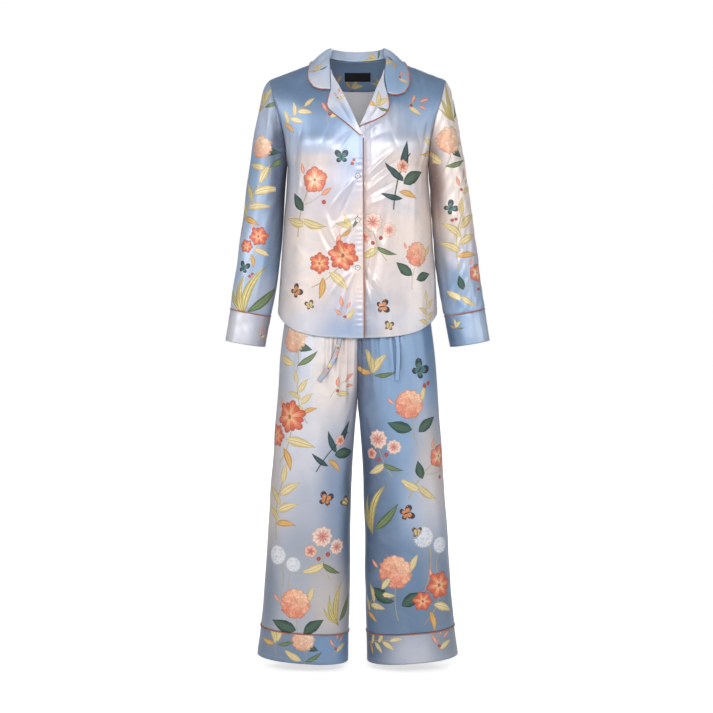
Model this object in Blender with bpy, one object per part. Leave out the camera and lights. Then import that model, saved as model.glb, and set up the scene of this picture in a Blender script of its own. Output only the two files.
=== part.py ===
"""Satin pyjama set: a notched-collar jacket with piped edges over wide-leg trousers, filled out as worn.

Metres, +Z up, the front towards -Y and the wearer's left towards +X.  The origin lies between the
wearer's shoulders, level with the neck seam, where the wearer holds the jacket up.
Every cloth piece is a thin wall on the outside of a form worked out from the tables below.
"""
import math

import bmesh
import bpy
import numpy as np
from mathutils.bvhtree import BVHTree

# ---------------------------------------------------------------- cloth and trim
CLOTH = 0.0012            # wall of one cloth piece
SEAM = 0.0003             # space between two pieces that are sewn together
PIPING = 0.0024           # diameter of the corded piping
PIPING_SIDES = 5
EDGE_GAP = 0.0005         # space between an edge and the piping along it

# ---------------------------------------------------------------- jacket form
SECTION_POWER = 2.4       # squareness of a section across the body
NECK_POINT = (0.069, 0.0018)       # x and z where the shoulder seam meets the neck
SHOULDER_POINT = (0.2038, -0.0500)  # x and z where the shoulder seam meets the sleeve
SHOULDER_Y = 0.004
UNDERARM_Z = -0.248
FRONT_EDGE = 0.012        # how far each front runs past the centre line
UNDERLAP_DEPTH = 0.0057   # how far the under front is pressed in below the upper one
UNDERLAP_WIDTH = 0.034
UNDERLAP_TOP = (-0.086, -0.126)    # the pressing-in starts and is complete at these heights

JACKET_SECTIONS = {       # below the underarm
    "z":          (-0.6600, -0.5836, -0.4516, -0.3680, -0.3010, UNDERARM_Z),
    "half_width": (0.1862, 0.1842, 0.1750, 0.1692, 0.1640, 0.1610),
    "front":      (0.1150, 0.1140, 0.1160, 0.1195, 0.1240, 0.1245),
    "back":       (0.1140, 0.1120, 0.1030, 0.1010, 0.1050, 0.1090),
}
HEM_CURVE = {             # height of the shirt-tail hem, by the share of the way round to the side
    "share": (0.0, 0.30, 0.50, 0.66, 0.85, 1.0),
    "front": (-0.6350, -0.6300, -0.6200, -0.6060, -0.5880, -0.5775),
    "back":  (-0.6420, -0.6370, -0.6250, -0.6080, -0.5880, -0.5775),
}
UPPER_FRONT = {"depth": 0.1245, "fall": 1.7, "arm": 0.74}   # depth at the underarm, roll and armhole share
UPPER_BACK = {"depth": 0.1090, "fall": 2.1, "arm": 0.80}
ROLL_OVER = 2.2           # roundness of the shoulder's roll from front to back
ARMHOLE_ROUND = (2.2, 0.6)   # how fast the armhole's depth grows, near its foot and near its top
ARMHOLE = {               # armhole seam seen from the front
    "z": (UNDERARM_Z, -0.2328, -0.1936, -0.1401, -0.0915, -0.0600, SHOULDER_POINT[1]),
    "x": (0.1610, 0.1622, 0.1650, 0.1765, 0.1915, 0.1995, SHOULDER_POINT[0]),
}
ROLL_LINES = {            # lines on which the fronts turn out as the lapels, seen from the front
    "z":     (-0.1850, -0.1570, -0.1120, -0.0710, -0.0430, -0.0130, NECK_POINT[1]),
    "right": (-FRONT_EDGE, 0.0004, 0.0207, 0.0421, 0.0576, 0.0635, NECK_POINT[0]),
    "left":  (-FRONT_EDGE, 0.0062, 0.0278, 0.0448, 0.0572, 0.0640, NECK_POINT[0]),
}
BACK_NECK_Z = -0.0030     # centre back of the neck seam
NECK_COLUMNS = 4          # columns of the back's points from the centre to the neck point
SHOULDER_COLUMNS = 6      # and from the neck point to the armhole
BACK_EVEN = 0.4           # the back's columns are evenly spaced by length at the underarm, by angle from here up
CENTRE_DROP = 0.05        # the middle that the body's walls face away from lies this much lower
UPPER_SHARES = (1.0, 0.976, 0.905, 0.825, 0.740, 0.620, 0.470, None, 0.115, 0.040, 0.0)   # None: the break
UPPER_STEPS = len(UPPER_SHARES) - 1
LOWER_STEPS = 6

# Long soft folds: ends (x, z), half width, and height out of the cloth (a trough is negative).
FOLD_COLUMNS = ("x1", "z1", "x2", "z2", "width", "height")
FRONT_FOLDS = (
    (0.120, -0.205, 0.135, -0.560, 0.020, 0.0040),
    (0.084, -0.225, 0.092, -0.600, 0.018, -0.0036),
    (0.052, -0.290, 0.056, -0.610, 0.020, 0.0032),
    (0.150, -0.240, 0.160, -0.480, 0.016, -0.0034),
    (0.020, -0.270, 0.095, -0.200, 0.014, 0.0026),
    (0.012, -0.375, 0.090, -0.470, 0.015, 0.0028),
)
BACK_FOLDS = (
    (0.030, -0.140, 0.040, -0.600, 0.022, 0.0038),
    (0.078, -0.170, 0.092, -0.590, 0.020, -0.0034),
    (0.126, -0.200, 0.140, -0.540, 0.020, 0.0038),
)

# ---------------------------------------------------------------- sleeves and cuffs
SLEEVE_POWER = 2.15
SLEEVE_CLEAR = 0.0004     # space between armhole and sleeve
SLEEVES = {               # outer and inner line seen from the front, and the depth of each ring
    "along":   (0.00, 0.05, 0.13, 0.24, 0.36, 0.50, 0.63, 0.76, 0.87, 1.00),
    "outer_x": (0.2038, 0.2140, 0.2250, 0.2370, 0.2485, 0.2600, 0.2700, 0.2795, 0.2870, 0.2930),
    "outer_z": (-0.050, -0.068, -0.115, -0.176, -0.245, -0.330, -0.405, -0.475, -0.530, -0.572),
    "inner_x": (0.1614, 0.1624, 0.1637, 0.1656, 0.1679, 0.1717, 0.1760, 0.1824, 0.1915, 0.1998),
    "inner_z": (-0.248, -0.2500, -0.260, -0.285, -0.325, -0.380, -0.438, -0.496, -0.550, -0.589),
    "front":   (0.060, 0.0610, 0.0620, 0.0610, 0.0580, 0.0540, 0.0505, 0.0480, 0.0455, 0.0430),
    "back":    (0.066, 0.0660, 0.0650, 0.0620, 0.0590, 0.0560, 0.0530, 0.0500, 0.0470, 0.0440),
    "mid_y":   (0.004, 0.0040, 0.0040, 0.0040, 0.0040, 0.0020, 0.0000, -0.004, -0.008, -0.012),
}
ARMHOLE_SHARE = 0.20      # share of the sleeve over which the armhole's shape eases into a ring
SLEEVE_RINGS = (0.0, 0.035, 0.085, 0.15, 0.23, 0.32, 0.42, 0.52, 0.62, 0.73, 0.86, 1.0)
CUFF_END = {"outer": (0.3046, -0.6450), "inner": (0.2128, -0.6600), "front": 0.0425, "back": 0.0435,
            "mid_y": -0.016}
SLEEVE_FOLD_ENDS = (0.10, 0.06)   # the folds fade over these shares at the armhole and at the cuff
SLEEVE_FOLDS = (          # share along, angle round from the top (degrees), half length, half angle, height
    (0.16, 70.0, 0.10, 26.0, 0.0035),
    (0.30, 130.0, 0.12, 24.0, -0.0040),
    (0.46, 60.0, 0.10, 30.0, 0.0030),
    (0.52, 150.0, 0.08, 26.0, -0.0035),
    (0.70, 100.0, 0.12, 26.0, 0.0030),
    (0.40, 250.0, 0.14, 28.0, -0.0036),
    (0.66, 290.0, 0.14, 28.0, 0.0032),
)

# ---------------------------------------------------------------- collar, lapels and neck
COLLAR_BACK = (           # place; x and z of the seam; then the turned top, the middle of the fall and its edge
    ("centre back",   (0.0000, None), (0.0000, 0.0650, 0.0215), (0.0000, 0.0800, 0.0020),
     (0.0000, 0.0860, -0.0230)),
    ("back quarter",  (0.0330, None), (0.0310, 0.0580, 0.0222), (0.0410, 0.0740, 0.0040),
     (0.0490, 0.0810, -0.0225)),
    ("back side",     (0.0560, None), (0.0525, 0.0370, 0.0238), (0.0690, 0.0480, 0.0110),
     (0.0870, 0.0560, -0.0170)),
    ("shoulder",      (0.0650, None), (0.0597, 0.0080, 0.0238), (0.0780, 0.0060, 0.0160),
     (0.1025, 0.0040, -0.0085)),
)
COLLAR_ENDS = {
    "right": (
        ("front of neck", (0.0622, -0.0020), (0.0610, -0.0120, 0.0110), (0.0830, -0.0180, 0.0045),
         (0.1075, -0.0300, -0.0210)),
        ("top of gorge",  (0.0626, -0.0110), (0.0690, -0.0330, -0.0070), (0.0870, -0.0400, -0.0170),
         (0.1105, -0.0460, -0.0380)),
        ("gorge",         (0.0614, -0.0450), (0.0700, -0.0610, -0.0450), (0.0870, -0.0600, -0.0480),
         (0.1075, -0.0580, -0.0590)),
        ("notch",         (0.0606, -0.0785), (0.0700, -0.0800, -0.0790), (0.0830, -0.0760, -0.0785),
         (0.0970, -0.0700, -0.0735)),
    ),
    "left": (
        ("front of neck", (0.0622, -0.0020), (0.0615, -0.0120, 0.0110), (0.0840, -0.0180, 0.0040),
         (0.1090, -0.0300, -0.0225)),
        ("top of gorge",  (0.0630, -0.0110), (0.0700, -0.0330, -0.0080), (0.0890, -0.0400, -0.0190),
         (0.1140, -0.0470, -0.0450)),
        ("gorge",         (0.0606, -0.0500), (0.0710, -0.0620, -0.0520), (0.0910, -0.0640, -0.0560),
         (0.1130, -0.0640, -0.0700)),
        ("notch",         (0.0669, -0.0868), (0.0770, -0.0850, -0.0905), (0.0890, -0.0800, -0.0915),
         (0.1035, -0.0740, -0.0865)),
    ),
}
STAND_GAP = 0.0010        # the stand keeps this far inside and above the neck seam
COLLAR_LIFT = 0.0046      # least height of the collar's outside over the jacket
GORGES = {                # seam between collar and lapel, from its top to the notch
    "right": {"z": (-0.0350, -0.0560, -0.0785), "x": (0.0606, 0.0596, 0.0597)},
    "left":  {"z": (-0.0350, -0.0600, -0.0868), "x": (0.0600, 0.0587, 0.0656)},
}
LAPEL_EDGES = {           # outer edge of the lapel seen from the front, from the notch to the break
    "right": {"z": (-0.0785, -0.1050, -0.1175, -0.1300, -0.1550, -0.1810),
              "x": (0.0597, 0.0664, 0.0660, 0.0545, 0.0228, -0.0070)},
    "left":  {"z": (-0.0868, -0.1050, -0.1180, -0.1325, -0.1460, -0.1600, -0.1800),
              "x": (0.0656, 0.0690, 0.0690, 0.0612, 0.0392, 0.0060, -0.0075)},
}
LAPEL_ROLL = (0.0010, 0.0003)      # inner radius of the roll at the neck and at the break
LAPEL_LIFT = (0.0030, 0.0029)      # height of the lapel's outside at its edge, at the notch and at the break
FACING_ROWS = 5           # the back neck facing covers this many rows of the back's points
LABEL_AREA = {"rows": (1.93, 2.44, 2.94), "half_columns": 1.58}   # on the facing's own rows and columns
LABEL_WALL = 0.0008

BUTTON_PROFILE = ((0.0047, 0.0), (0.0055, 0.0006), (0.0055, 0.0018), (0.0046, 0.0024))   # radius, height
BUTTON_SIDES = 14
BUTTON_LIFT = 0.0006      # space for the thread shank
BUTTON_HEIGHTS = (-0.2715, -0.3688, -0.4760)

# ---------------------------------------------------------------- trousers
WAIST_TOP = -0.4285
WAIST_SEAM = -0.4680
SEAT_TOP = -0.5200        # where the body starts to part into two legs
CROTCH = -0.7900
TROUSERS = {
    "z":     (-1.4000, -1.2990, -1.1070, -0.9730, -0.8450, -0.7340, -0.6180, -0.5400, WAIST_SEAM, WAIST_TOP),
    "outer": (0.2355, 0.2230, 0.2091, 0.1996, 0.1910, 0.1820, 0.1710, 0.1560, 0.1330, 0.1300),
    "front": (0.0820, 0.0820, 0.0830, 0.0850, 0.0900, 0.0950, 0.0950, 0.0900, 0.0850, 0.0850),
    "back":  (0.0820, 0.0830, 0.0860, 0.0910, 0.0980, 0.1020, 0.0990, 0.0930, 0.0880, 0.0880),
}
LEG_INNER = {"z": (-1.4000, -1.3000, -1.1830, -1.0650, -0.9380, -0.8410, CROTCH),
             "x": (0.0222, 0.0201, 0.0186, 0.0164, 0.0118, 0.0056, 0.0004)}
LEG_POWER = 2.3
HEM_TILT = 0.0160         # the outer side of each hem stands this much higher than the inner side
HEM_Z = -1.3940           # inner side of the hem
BAND_HEIGHT = 0.0700
BAND_POINTS = 13          # points of a hem band from the outseam to the inner seam
LEG_ROWS = 5
SEAT_ROWS = (0.0, 0.27, 0.48, 0.65, 0.78, 0.88, 0.95, 1.0)
GATHER_SHARES = (0.0, 0.09, 0.17, 0.25, 0.33, 0.41, 0.49, 0.56, 0.625, 0.69, 0.745, 0.80, 0.85, 0.90, 0.95, 1.0)
GATHER_HEIGHTS = (0.0, 0.0016, -0.0016, 0.0022, -0.0020, 0.0026, -0.0024, 0.0030, -0.0026, 0.0032, -0.0034,
                  0.0030, -0.0036, 0.0034, -0.0030, 0.0)
GATHER_END = -0.840       # the gathers have faded out here
GATHER_HOLD = 1.6         # how long they keep their full height below the waist
PARTING_ROUND = 1.5       # how soon the seat parts towards the two legs
BACK_SHARES = tuple(step / 11.0 for step in range(12))
WAIST_POINTS = 36
WAIST_WAVE = 0.0026

# Free ends of the drawstring, from the waistband down the front of the trousers.
TIE = {"width": 0.0100, "thickness": 0.0011}
TIE_ROWS = 16
TIE_ROUTES = {
    "right": ((-0.0300, -0.0900, -0.4580), (-0.0305, -0.0912, -0.4900), (-0.0320, -0.0957, -0.5400),
              (-0.0350, -0.0998, -0.5900), (-0.0400, -0.1018, -0.6350), (-0.0500, -0.1020, -0.6720),
              (-0.0660, -0.1018, -0.7030), (-0.0880, -0.1012, -0.7330)),
    "left":  ((0.0300, -0.0900, -0.4580), (0.0340, -0.0910, -0.4900), (0.0480, -0.0938, -0.5350),
              (0.0680, -0.0964, -0.5800), (0.0840, -0.0980, -0.6180), (0.0910, -0.0994, -0.6520),
              (0.0915, -0.1010, -0.6900), (0.0890, -0.1012, -0.7320)),
}

SATIN_BLUE = (0.40, 0.52, 0.68)
SATIN_PALE = (0.74, 0.73, 0.79)
PIPING_RUST = (0.50, 0.22, 0.12)
PEARL = (0.86, 0.84, 0.82)
LABEL_BLACK = (0.012, 0.012, 0.015)


# ================================================================ helpers
def clear_scene():
    for thing in list(bpy.data.objects):
        bpy.data.objects.remove(thing, do_unlink=True)


def make_material(name, colour, roughness, metallic=0.0):
    material = bpy.data.materials.new(name)
    material.use_nodes = True
    shader = material.node_tree.nodes["Principled BSDF"]
    shader.inputs["Base Color"].default_value = (*colour, 1.0)
    shader.inputs["Roughness"].default_value = roughness
    shader.inputs["Metallic"].default_value = metallic
    material.diffuse_color = (*colour, 1.0)
    return material


def smooth_table(places, values):
    """A smooth curve through a table's rows; `values` may hold numbers or points."""
    places = np.asarray(places, float)
    values = np.asarray(values, float)
    slopes = np.gradient(values, places, axis=0)

    def read(place):
        place = float(min(max(place, places[0]), places[-1]))
        row = int(np.clip(np.searchsorted(places, place, side="right") - 1, 0, len(places) - 2))
        span = places[row + 1] - places[row]
        t = (place - places[row]) / span
        start, end = values[row], values[row + 1]
        return ((2 * t ** 3 - 3 * t ** 2 + 1) * start + (t ** 3 - 2 * t ** 2 + t) * span * slopes[row]
                + (3 * t ** 2 - 2 * t ** 3) * end + (t ** 3 - t ** 2) * span * slopes[row + 1])

    return read


def ease(share):
    """0 to 1 with soft ends."""
    share = min(max(share, 0.0), 1.0)
    return share * share * (3.0 - 2.0 * share)


def signed_power(value, power):
    return math.copysign(abs(value) ** power, value)


def unit(vector):
    length = np.linalg.norm(vector, axis=-1, keepdims=True)
    return vector / np.maximum(length, 1e-12)


def resample(points, shares):
    """Points at the given shares of a line's length."""
    points = np.asarray(points, float)
    steps = np.linalg.norm(np.diff(points, axis=0), axis=1)
    run = np.concatenate([[0.0], np.cumsum(steps)])
    run /= run[-1]
    return np.array([[np.interp(share, run, points[:, axis]) for axis in range(3)] for share in shares])


def trimmed(points, start=0.0, end=0.0):
    """The line with `start` and `end` metres taken off its two ends."""
    points = np.array(points, float)
    points[0] += unit(points[1] - points[0]) * start
    points[-1] += unit(points[-2] - points[-1]) * end
    return points


def grid_normals(grid, closed):
    """Outward normals of rows x columns of points; the middle of each row counts as inside."""
    if closed:
        across = np.roll(grid, -1, axis=1) - np.roll(grid, 1, axis=1)
    else:
        across = np.gradient(grid, axis=1)
    along = np.gradient(grid, axis=0)
    return unit(np.cross(across, along))


def face_out(grid, normals, centre):
    outward = grid - centre
    if float(np.sum(normals * outward)) < 0.0:
        return -normals
    return normals


def flatten(normals, edges):
    """At a seam both pieces share one plane, so the normal has no part along that plane's axis."""
    for rows, columns, axis in edges:
        part = normals[rows, columns]
        part[..., axis] = 0.0
        normals[rows, columns] = unit(part)
    return normals


def add_mesh(name, vertices, faces, material):
    mesh = bpy.data.meshes.new(name)
    mesh.from_pydata([tuple(map(float, v)) for v in vertices], [], faces)
    work = bmesh.new()
    work.from_mesh(mesh)
    bmesh.ops.recalc_face_normals(work, faces=work.faces)
    if work.calc_volume(signed=True) < 0.0:
        bmesh.ops.reverse_faces(work, faces=work.faces)
    work.to_mesh(mesh)
    work.free()
    mesh.materials.append(material)
    mesh.shade_smooth()
    mesh.set_sharp_from_angle(angle=math.radians(40))
    thing = bpy.data.objects.new(name, mesh)
    bpy.context.scene.collection.objects.link(thing)
    return thing


def wall(name, grid, normals, material, closed=False, thickness=CLOTH):
    """A cloth wall: `grid` is rows x columns of points on its outside, and the wall goes inwards."""
    rows, columns = grid.shape[:2]
    outside = grid.reshape(-1, 3)
    inside = (grid - normals * thickness).reshape(-1, 3)
    vertices = np.vstack([outside, inside])
    count = rows * columns
    faces = []

    def corner(row, column, layer):
        return layer * count + row * columns + column % columns

    def add_quad(a, b, c, d, layer):
        for corners in ((a, b, c), (a, c, d)):
            faces.append(corners if layer == 0 else corners[::-1])

    spans = columns if closed else columns - 1
    for row in range(rows - 1):
        for column in range(spans):
            for layer in (0, 1):
                add_quad(corner(row, column, layer), corner(row, column + 1, layer),
                         corner(row + 1, column + 1, layer), corner(row + 1, column, layer), layer)
    for column in range(spans):
        for row in (0, rows - 1):
            add_quad(corner(row, column, 0), corner(row, column, 1),
                     corner(row, column + 1, 1), corner(row, column + 1, 0), 0)
    if not closed:
        for row in range(rows - 1):
            for column in (0, columns - 1):
                add_quad(corner(row, column, 0), corner(row + 1, column, 0),
                         corner(row + 1, column, 1), corner(row, column, 1), 0)
    return add_mesh(name, vertices, faces, material)


def tube(name, path, material, diameter=PIPING, sides=PIPING_SIDES, closed=False, lead=(0.0, 0.0, 1.0)):
    """A round cord along a path."""
    path = np.asarray(path, float)
    if closed:
        ahead = np.roll(path, -1, axis=0) - np.roll(path, 1, axis=0)
    else:
        ahead = np.gradient(path, axis=0)
    ahead = unit(ahead)
    vertices = []
    side = unit(np.cross(ahead[0], np.asarray(lead, float)))
    for point, forward in zip(path, ahead):
        side = unit(side - forward * np.dot(side, forward))
        up = np.cross(forward, side)
        for step in range(sides):
            angle = 2.0 * math.pi * step / sides
            vertices.append(point + (side * math.cos(angle) + up * math.sin(angle)) * diameter / 2.0)
    count = len(path)
    faces = []
    for ring in range(count if closed else count - 1):
        other = (ring + 1) % count
        for step in range(sides):
            following = (step + 1) % sides
            faces.append([ring * sides + step, ring * sides + following,
                          other * sides + following, other * sides + step])
    if not closed:
        faces.append(list(range(sides))[::-1])
        faces.append([(count - 1) * sides + step for step in range(sides)])
    return add_mesh(name, vertices, faces, material)


# ================================================================ the jacket's form
def shoulder_z(x):
    """Height of the shoulder line; it is rounded off over the neck, where no cloth reaches it."""
    slope = (SHOULDER_POINT[1] - NECK_POINT[1]) / (SHOULDER_POINT[0] - NECK_POINT[0])
    if abs(x) >= NECK_POINT[0]:
        return NECK_POINT[1] + (abs(x) - NECK_POINT[0]) * slope
    return NECK_POINT[1] - slope * NECK_POINT[0] / 2.0 * (1.0 - (x / NECK_POINT[0]) ** 2)


def upper_share(x, z):
    """How far up a point is between the underarm (0) and the shoulder seam (1)."""
    return (z - UNDERARM_Z) / (shoulder_z(x) - UNDERARM_Z)


def upper_z(x, share):
    return UNDERARM_Z + share * (shoulder_z(x) - UNDERARM_Z)


body_half_width = smooth_table(JACKET_SECTIONS["z"], JACKET_SECTIONS["half_width"])
body_depth = {"front": smooth_table(JACKET_SECTIONS["z"], JACKET_SECTIONS["front"]),
              "back": smooth_table(JACKET_SECTIONS["z"], JACKET_SECTIONS["back"])}
hem_height = {"front": smooth_table(HEM_CURVE["share"], HEM_CURVE["front"]),
              "back": smooth_table(HEM_CURVE["share"], HEM_CURVE["back"])}
UPPER = {"front": UPPER_FRONT, "back": UPPER_BACK}
armhole_x = smooth_table([upper_share(x, z) for x, z in zip(ARMHOLE["x"], ARMHOLE["z"])], ARMHOLE["x"])
SIDES = {-1: "right", 1: "left"}
roll_x = {side: smooth_table([upper_share(x, z) for x, z in zip(ROLL_LINES[name], ROLL_LINES["z"])],
                             ROLL_LINES[name]) for side, name in SIDES.items()}
BREAK_SHARE = upper_share(FRONT_EDGE, ROLL_LINES["z"][0])
BODY_SHARES = [BREAK_SHARE if share is None else share for share in UPPER_SHARES]
BREAK_ROW = UPPER_SHARES.index(None)


def upper_depth(face, share):
    """Depth of the upper body at its centre line."""
    form = UPPER[face]
    return form["depth"] * max(1.0 - share ** form["fall"], 0.0) ** (1.0 / ROLL_OVER)


def armhole_share(face, share):
    """Depth of the armhole edge as a share of the centre's depth."""
    return UPPER[face]["arm"] * (1.0 - (1.0 - share) ** ARMHOLE_ROUND[0]) ** ARMHOLE_ROUND[1]


def upper_width(face, share):
    """Half width of the full section that the armhole cuts short."""
    rest = 1.0 - armhole_share(face, share) ** SECTION_POWER
    return armhole_x(share) / rest ** (1.0 / SECTION_POWER)


def section_angle(ratio):
    return math.asin(min(max(signed_power(ratio, SECTION_POWER / 2.0), -1.0), 1.0))


def section_point(face, side, width, depth, angle):
    """x and y of a section at an angle from the centre line round to the side."""
    power = 2.0 / SECTION_POWER
    x = width * signed_power(math.sin(angle), power)
    y = depth * max(math.cos(angle), 0.0) ** power
    return side * x, SHOULDER_Y + (-y if face == "front" else y)


def upper_line(face, side, share, start_x, samples=48):
    """The body's line at one upper share, from x = start_x to the armhole edge."""
    width, depth = upper_width(face, share), upper_depth(face, share)
    first, last = section_angle(start_x / width), section_angle(armhole_x(share) / width)
    line = []
    for step in range(samples):
        angle = first + (last - first) * step / (samples - 1)
        x, y = section_point(face, side, width, depth, angle)
        line.append((x, y, upper_z(x, share)))
    return line


def lower_line(face, side, share, start_x, samples=48):
    """The body's line at one share of the way down from the underarm to the hem."""
    first, last = section_angle(start_x / body_half_width(UNDERARM_Z)), math.pi / 2.0
    line = []
    for step in range(samples):
        angle = first + (last - first) * step / (samples - 1)
        hem = hem_height[face](abs(angle) / (math.pi / 2.0))
        z = UNDERARM_Z + share * (hem - UNDERARM_Z)
        width, depth = body_half_width(z), body_depth[face](z)
        x, y = section_point(face, side, width, depth, angle)
        line.append((x, y, z))
    return line


def fold_height(folds, x, z):
    """Height of the long folds at a place seen from the front or back."""
    total = 0.0
    for fold in folds:
        row = dict(zip(FOLD_COLUMNS, fold))
        along = np.array([row["x2"] - row["x1"], row["z2"] - row["z1"]])
        reach = np.array([x - row["x1"], z - row["z1"]])
        share = float(np.dot(reach, along) / np.dot(along, along))
        if not 0.0 < share < 1.0:
            continue
        off = float(np.linalg.norm(reach - along * share))
        total += row["height"] * math.exp(-(off / row["width"]) ** 2) * math.sin(math.pi * share) ** 0.7
    return total


def add_folds(grid, normals, folds, side):
    """Raise the folds, leaving the panel's edges where the seams are."""
    rows, columns = grid.shape[:2]
    for row in range(1, rows - 1):
        for column in range(1, columns - 1):
            x, _, z = grid[row, column]
            grid[row, column] += normals[row, column] * fold_height(folds, side * x, z)
    return grid


def body_rows():
    lower = [(step + 1) / LOWER_STEPS for step in range(LOWER_STEPS)]
    return [("upper", share) for share in BODY_SHARES] + [("lower", share) for share in lower]


FRONT_SHARES = (0.0, 0.07, 0.15, 0.23, 0.31, 0.40, 0.49, 0.58, 0.67, 0.76, 0.85, 0.93, 1.0)


def front_grid(side, shares=FRONT_SHARES):
    """Outside of one front, from the shoulder seam down to the hem, centre edge to side seam."""
    grid = []
    for region, share in body_rows():
        start = roll_x[side](share) if region == "upper" and share > BREAK_SHARE else -FRONT_EDGE
        line = (upper_line if region == "upper" else lower_line)("front", side, share, start)
        grid.append(resample(line, shares))
    return np.array(grid)


def torso_centre(grid):
    centre = grid.copy()
    centre[..., 0] = 0.0
    centre[..., 1] = 0.0
    centre[..., 2] -= CENTRE_DROP
    return centre


def front_panel(side):
    grid = front_grid(side)
    for row in grid:
        for point in row:
            point[1] += underlap(side, side * point[0], point[2])
    normals = face_out(grid, grid_normals(grid, False), torso_centre(grid))
    grid = add_folds(grid, normals, FRONT_FOLDS, side)
    flatten(normals, [(0, slice(None), 1), (slice(UPPER_STEPS, None), -1, 1)])
    grid[0, :, 1] -= SEAM / 2.0
    grid[UPPER_STEPS:, -1, 1] -= SEAM / 2.0
    return grid, normals


def back_grid():
    """Outside of the back, from the shoulder seams and neck down to the hem, left side to right."""
    neck = section_angle(NECK_POINT[0] / upper_width("back", 1.0 - 1e-6))
    outer = section_angle(armhole_x(1.0) / upper_width("back", 1.0 - 1e-6))
    neck_share = neck / outer
    inner = [neck_share * step / NECK_COLUMNS for step in range(NECK_COLUMNS + 1)]
    half = inner + [neck_share + (1.0 - neck_share) * (step + 1) / SHOULDER_COLUMNS
                    for step in range(SHOULDER_COLUMNS)]
    grid = []
    for region, share in body_rows():
        row = []
        for side in (-1, 1):
            columns = half[::-1] if side < 0 else half[1:]
            for column in columns:
                row.append(back_point(side, region, share, column, neck_share))
        grid.append(row)
    return np.array(grid)


def back_point(side, region, share, column, neck_share):
    if region == "lower":
        line = lower_line("back", side, share, 0.0)
        return resample(line, [column])[0]
    share = share * back_neck_share(column / neck_share)
    width, depth = upper_width("back", share), upper_depth("back", share)
    blend = ease(share / BACK_EVEN)
    last = section_angle(armhole_x(share) / width)
    x, y = section_point("back", side, width, depth, last * column)
    by_angle = np.array([x, y, upper_z(x, share)])
    by_length = resample(upper_line("back", side, share, 0.0), [column])[0]
    return by_angle * blend + by_length * (1.0 - blend)


def back_neck_share(reach):
    """Upper share of the back's top edge; reach is 0 at the centre back and 1 at the neck point."""
    if reach >= 1.0:
        return 1.0
    x = NECK_POINT[0] * reach
    z = BACK_NECK_Z + (NECK_POINT[1] - BACK_NECK_Z) * reach ** 2
    return upper_share(x, z)


def back_panel():
    grid = back_grid()
    normals = face_out(grid, grid_normals(grid, False), torso_centre(grid))
    for side in (-1, 1):
        half = grid[..., 0] * side > 0
        raised = add_folds(grid.copy(), normals, BACK_FOLDS, side)
        grid = np.where(half[..., None], raised, grid)
    on_shoulder = np.abs(grid[0, :, 0]) >= NECK_POINT[0] - 1e-4
    flatten(normals, [(0, on_shoulder, 1), (slice(UPPER_STEPS, None), 0, 1),
                      (slice(UPPER_STEPS, None), -1, 1)])
    grid[0, on_shoulder, 1] += SEAM / 2.0
    grid[UPPER_STEPS:, 0, 1] += SEAM / 2.0
    grid[UPPER_STEPS:, -1, 1] += SEAM / 2.0
    return grid, normals


def torso_field(place):
    """Below zero inside the upper body's form, zero on it."""
    x, y, z = place
    face = "front" if y < SHOULDER_Y else "back"
    share = upper_share(x, z)
    width = upper_width(face, min(max(share, 0.0), 1.0))
    across = max(1.0 - min(abs(x) / width, 0.999) ** SECTION_POWER, 1e-4) ** (1.0 / SECTION_POWER)
    deep = abs(y - SHOULDER_Y) / (UPPER[face]["depth"] * across)
    return deep ** ROLL_OVER + max(share, 0.0) ** UPPER[face]["fall"] - 1.0


def torso_slope(place, step=1e-4):
    return np.array([(torso_field(place + step * axis) - torso_field(place - step * axis)) / (2.0 * step)
                     for axis in np.eye(3)])


def clear_of_torso(point, clearance):
    """Move a point out until it stands `clearance` off the upper body's form."""
    point = np.array(point, float)
    for _ in range(6):
        slope = torso_slope(point)
        distance = torso_field(point) / np.linalg.norm(slope)
        if distance >= clearance:
            break
        point += unit(slope) * (clearance - distance)
    return point


def front_point(side, x, z):
    """A point on the front's form at a place seen from the front; x is measured towards `side`."""
    share = min(max(upper_share(x, z), 0.0), 1.0)
    width, depth = upper_width("front", share), upper_depth("front", share)
    if z < UNDERARM_Z:
        width, depth = body_half_width(z), body_depth["front"](z)
    ratio = min(abs(x) / width, 0.9999)
    y = depth * (1.0 - ratio ** SECTION_POWER) ** (1.0 / SECTION_POWER)
    return np.array([side * x, SHOULDER_Y - y + underlap(side, x, z), z])


def front_normal(side, x, z, step=0.0005):
    across = front_point(side, x + step, z) - front_point(side, x - step, z)
    down = front_point(side, x, z - step) - front_point(side, x, z + step)
    normal = unit(np.cross(across, down))
    return normal if normal[1] < 0.0 else -normal


def underlap(side, x, z):
    """How far the under front (the wearer's left) is pressed in near the centre line."""
    if side < 0:
        return 0.0
    top, full = UNDERLAP_TOP
    across = ease((UNDERLAP_WIDTH - x) / (UNDERLAP_WIDTH - FRONT_EDGE))
    return UNDERLAP_DEPTH * across * ease((top - z) / (top - full))


# ================================================================ sleeves and cuffs
sleeve_values = {column: smooth_table(SLEEVES["along"], SLEEVES[column])
                 for column in SLEEVES if column != "along"}


def ring(outer, inner, front, back, mid_y, side, angle, power=SLEEVE_POWER):
    """A point of a sleeve or cuff ring; 0 degrees is the outer line, 90 the front, 180 the inner line."""
    across = signed_power(math.cos(angle), 2.0 / power)
    through = signed_power(math.sin(angle), 2.0 / power)
    x = (outer[0] + inner[0]) / 2.0 + across * (outer[0] - inner[0]) / 2.0
    z = (outer[1] + inner[1]) / 2.0 + across * (outer[1] - inner[1]) / 2.0
    y = mid_y - through * (front if through > 0.0 else back)
    return np.array([side * x, y, z])


def ring_angles():
    """Angles at which a ring's points stand level with the rows of the body's armhole edge."""
    half = [math.acos(2.0 * share - 1.0) for share in BODY_SHARES]
    return half + [2.0 * math.pi - angle for angle in half[-2:0:-1]]


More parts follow.
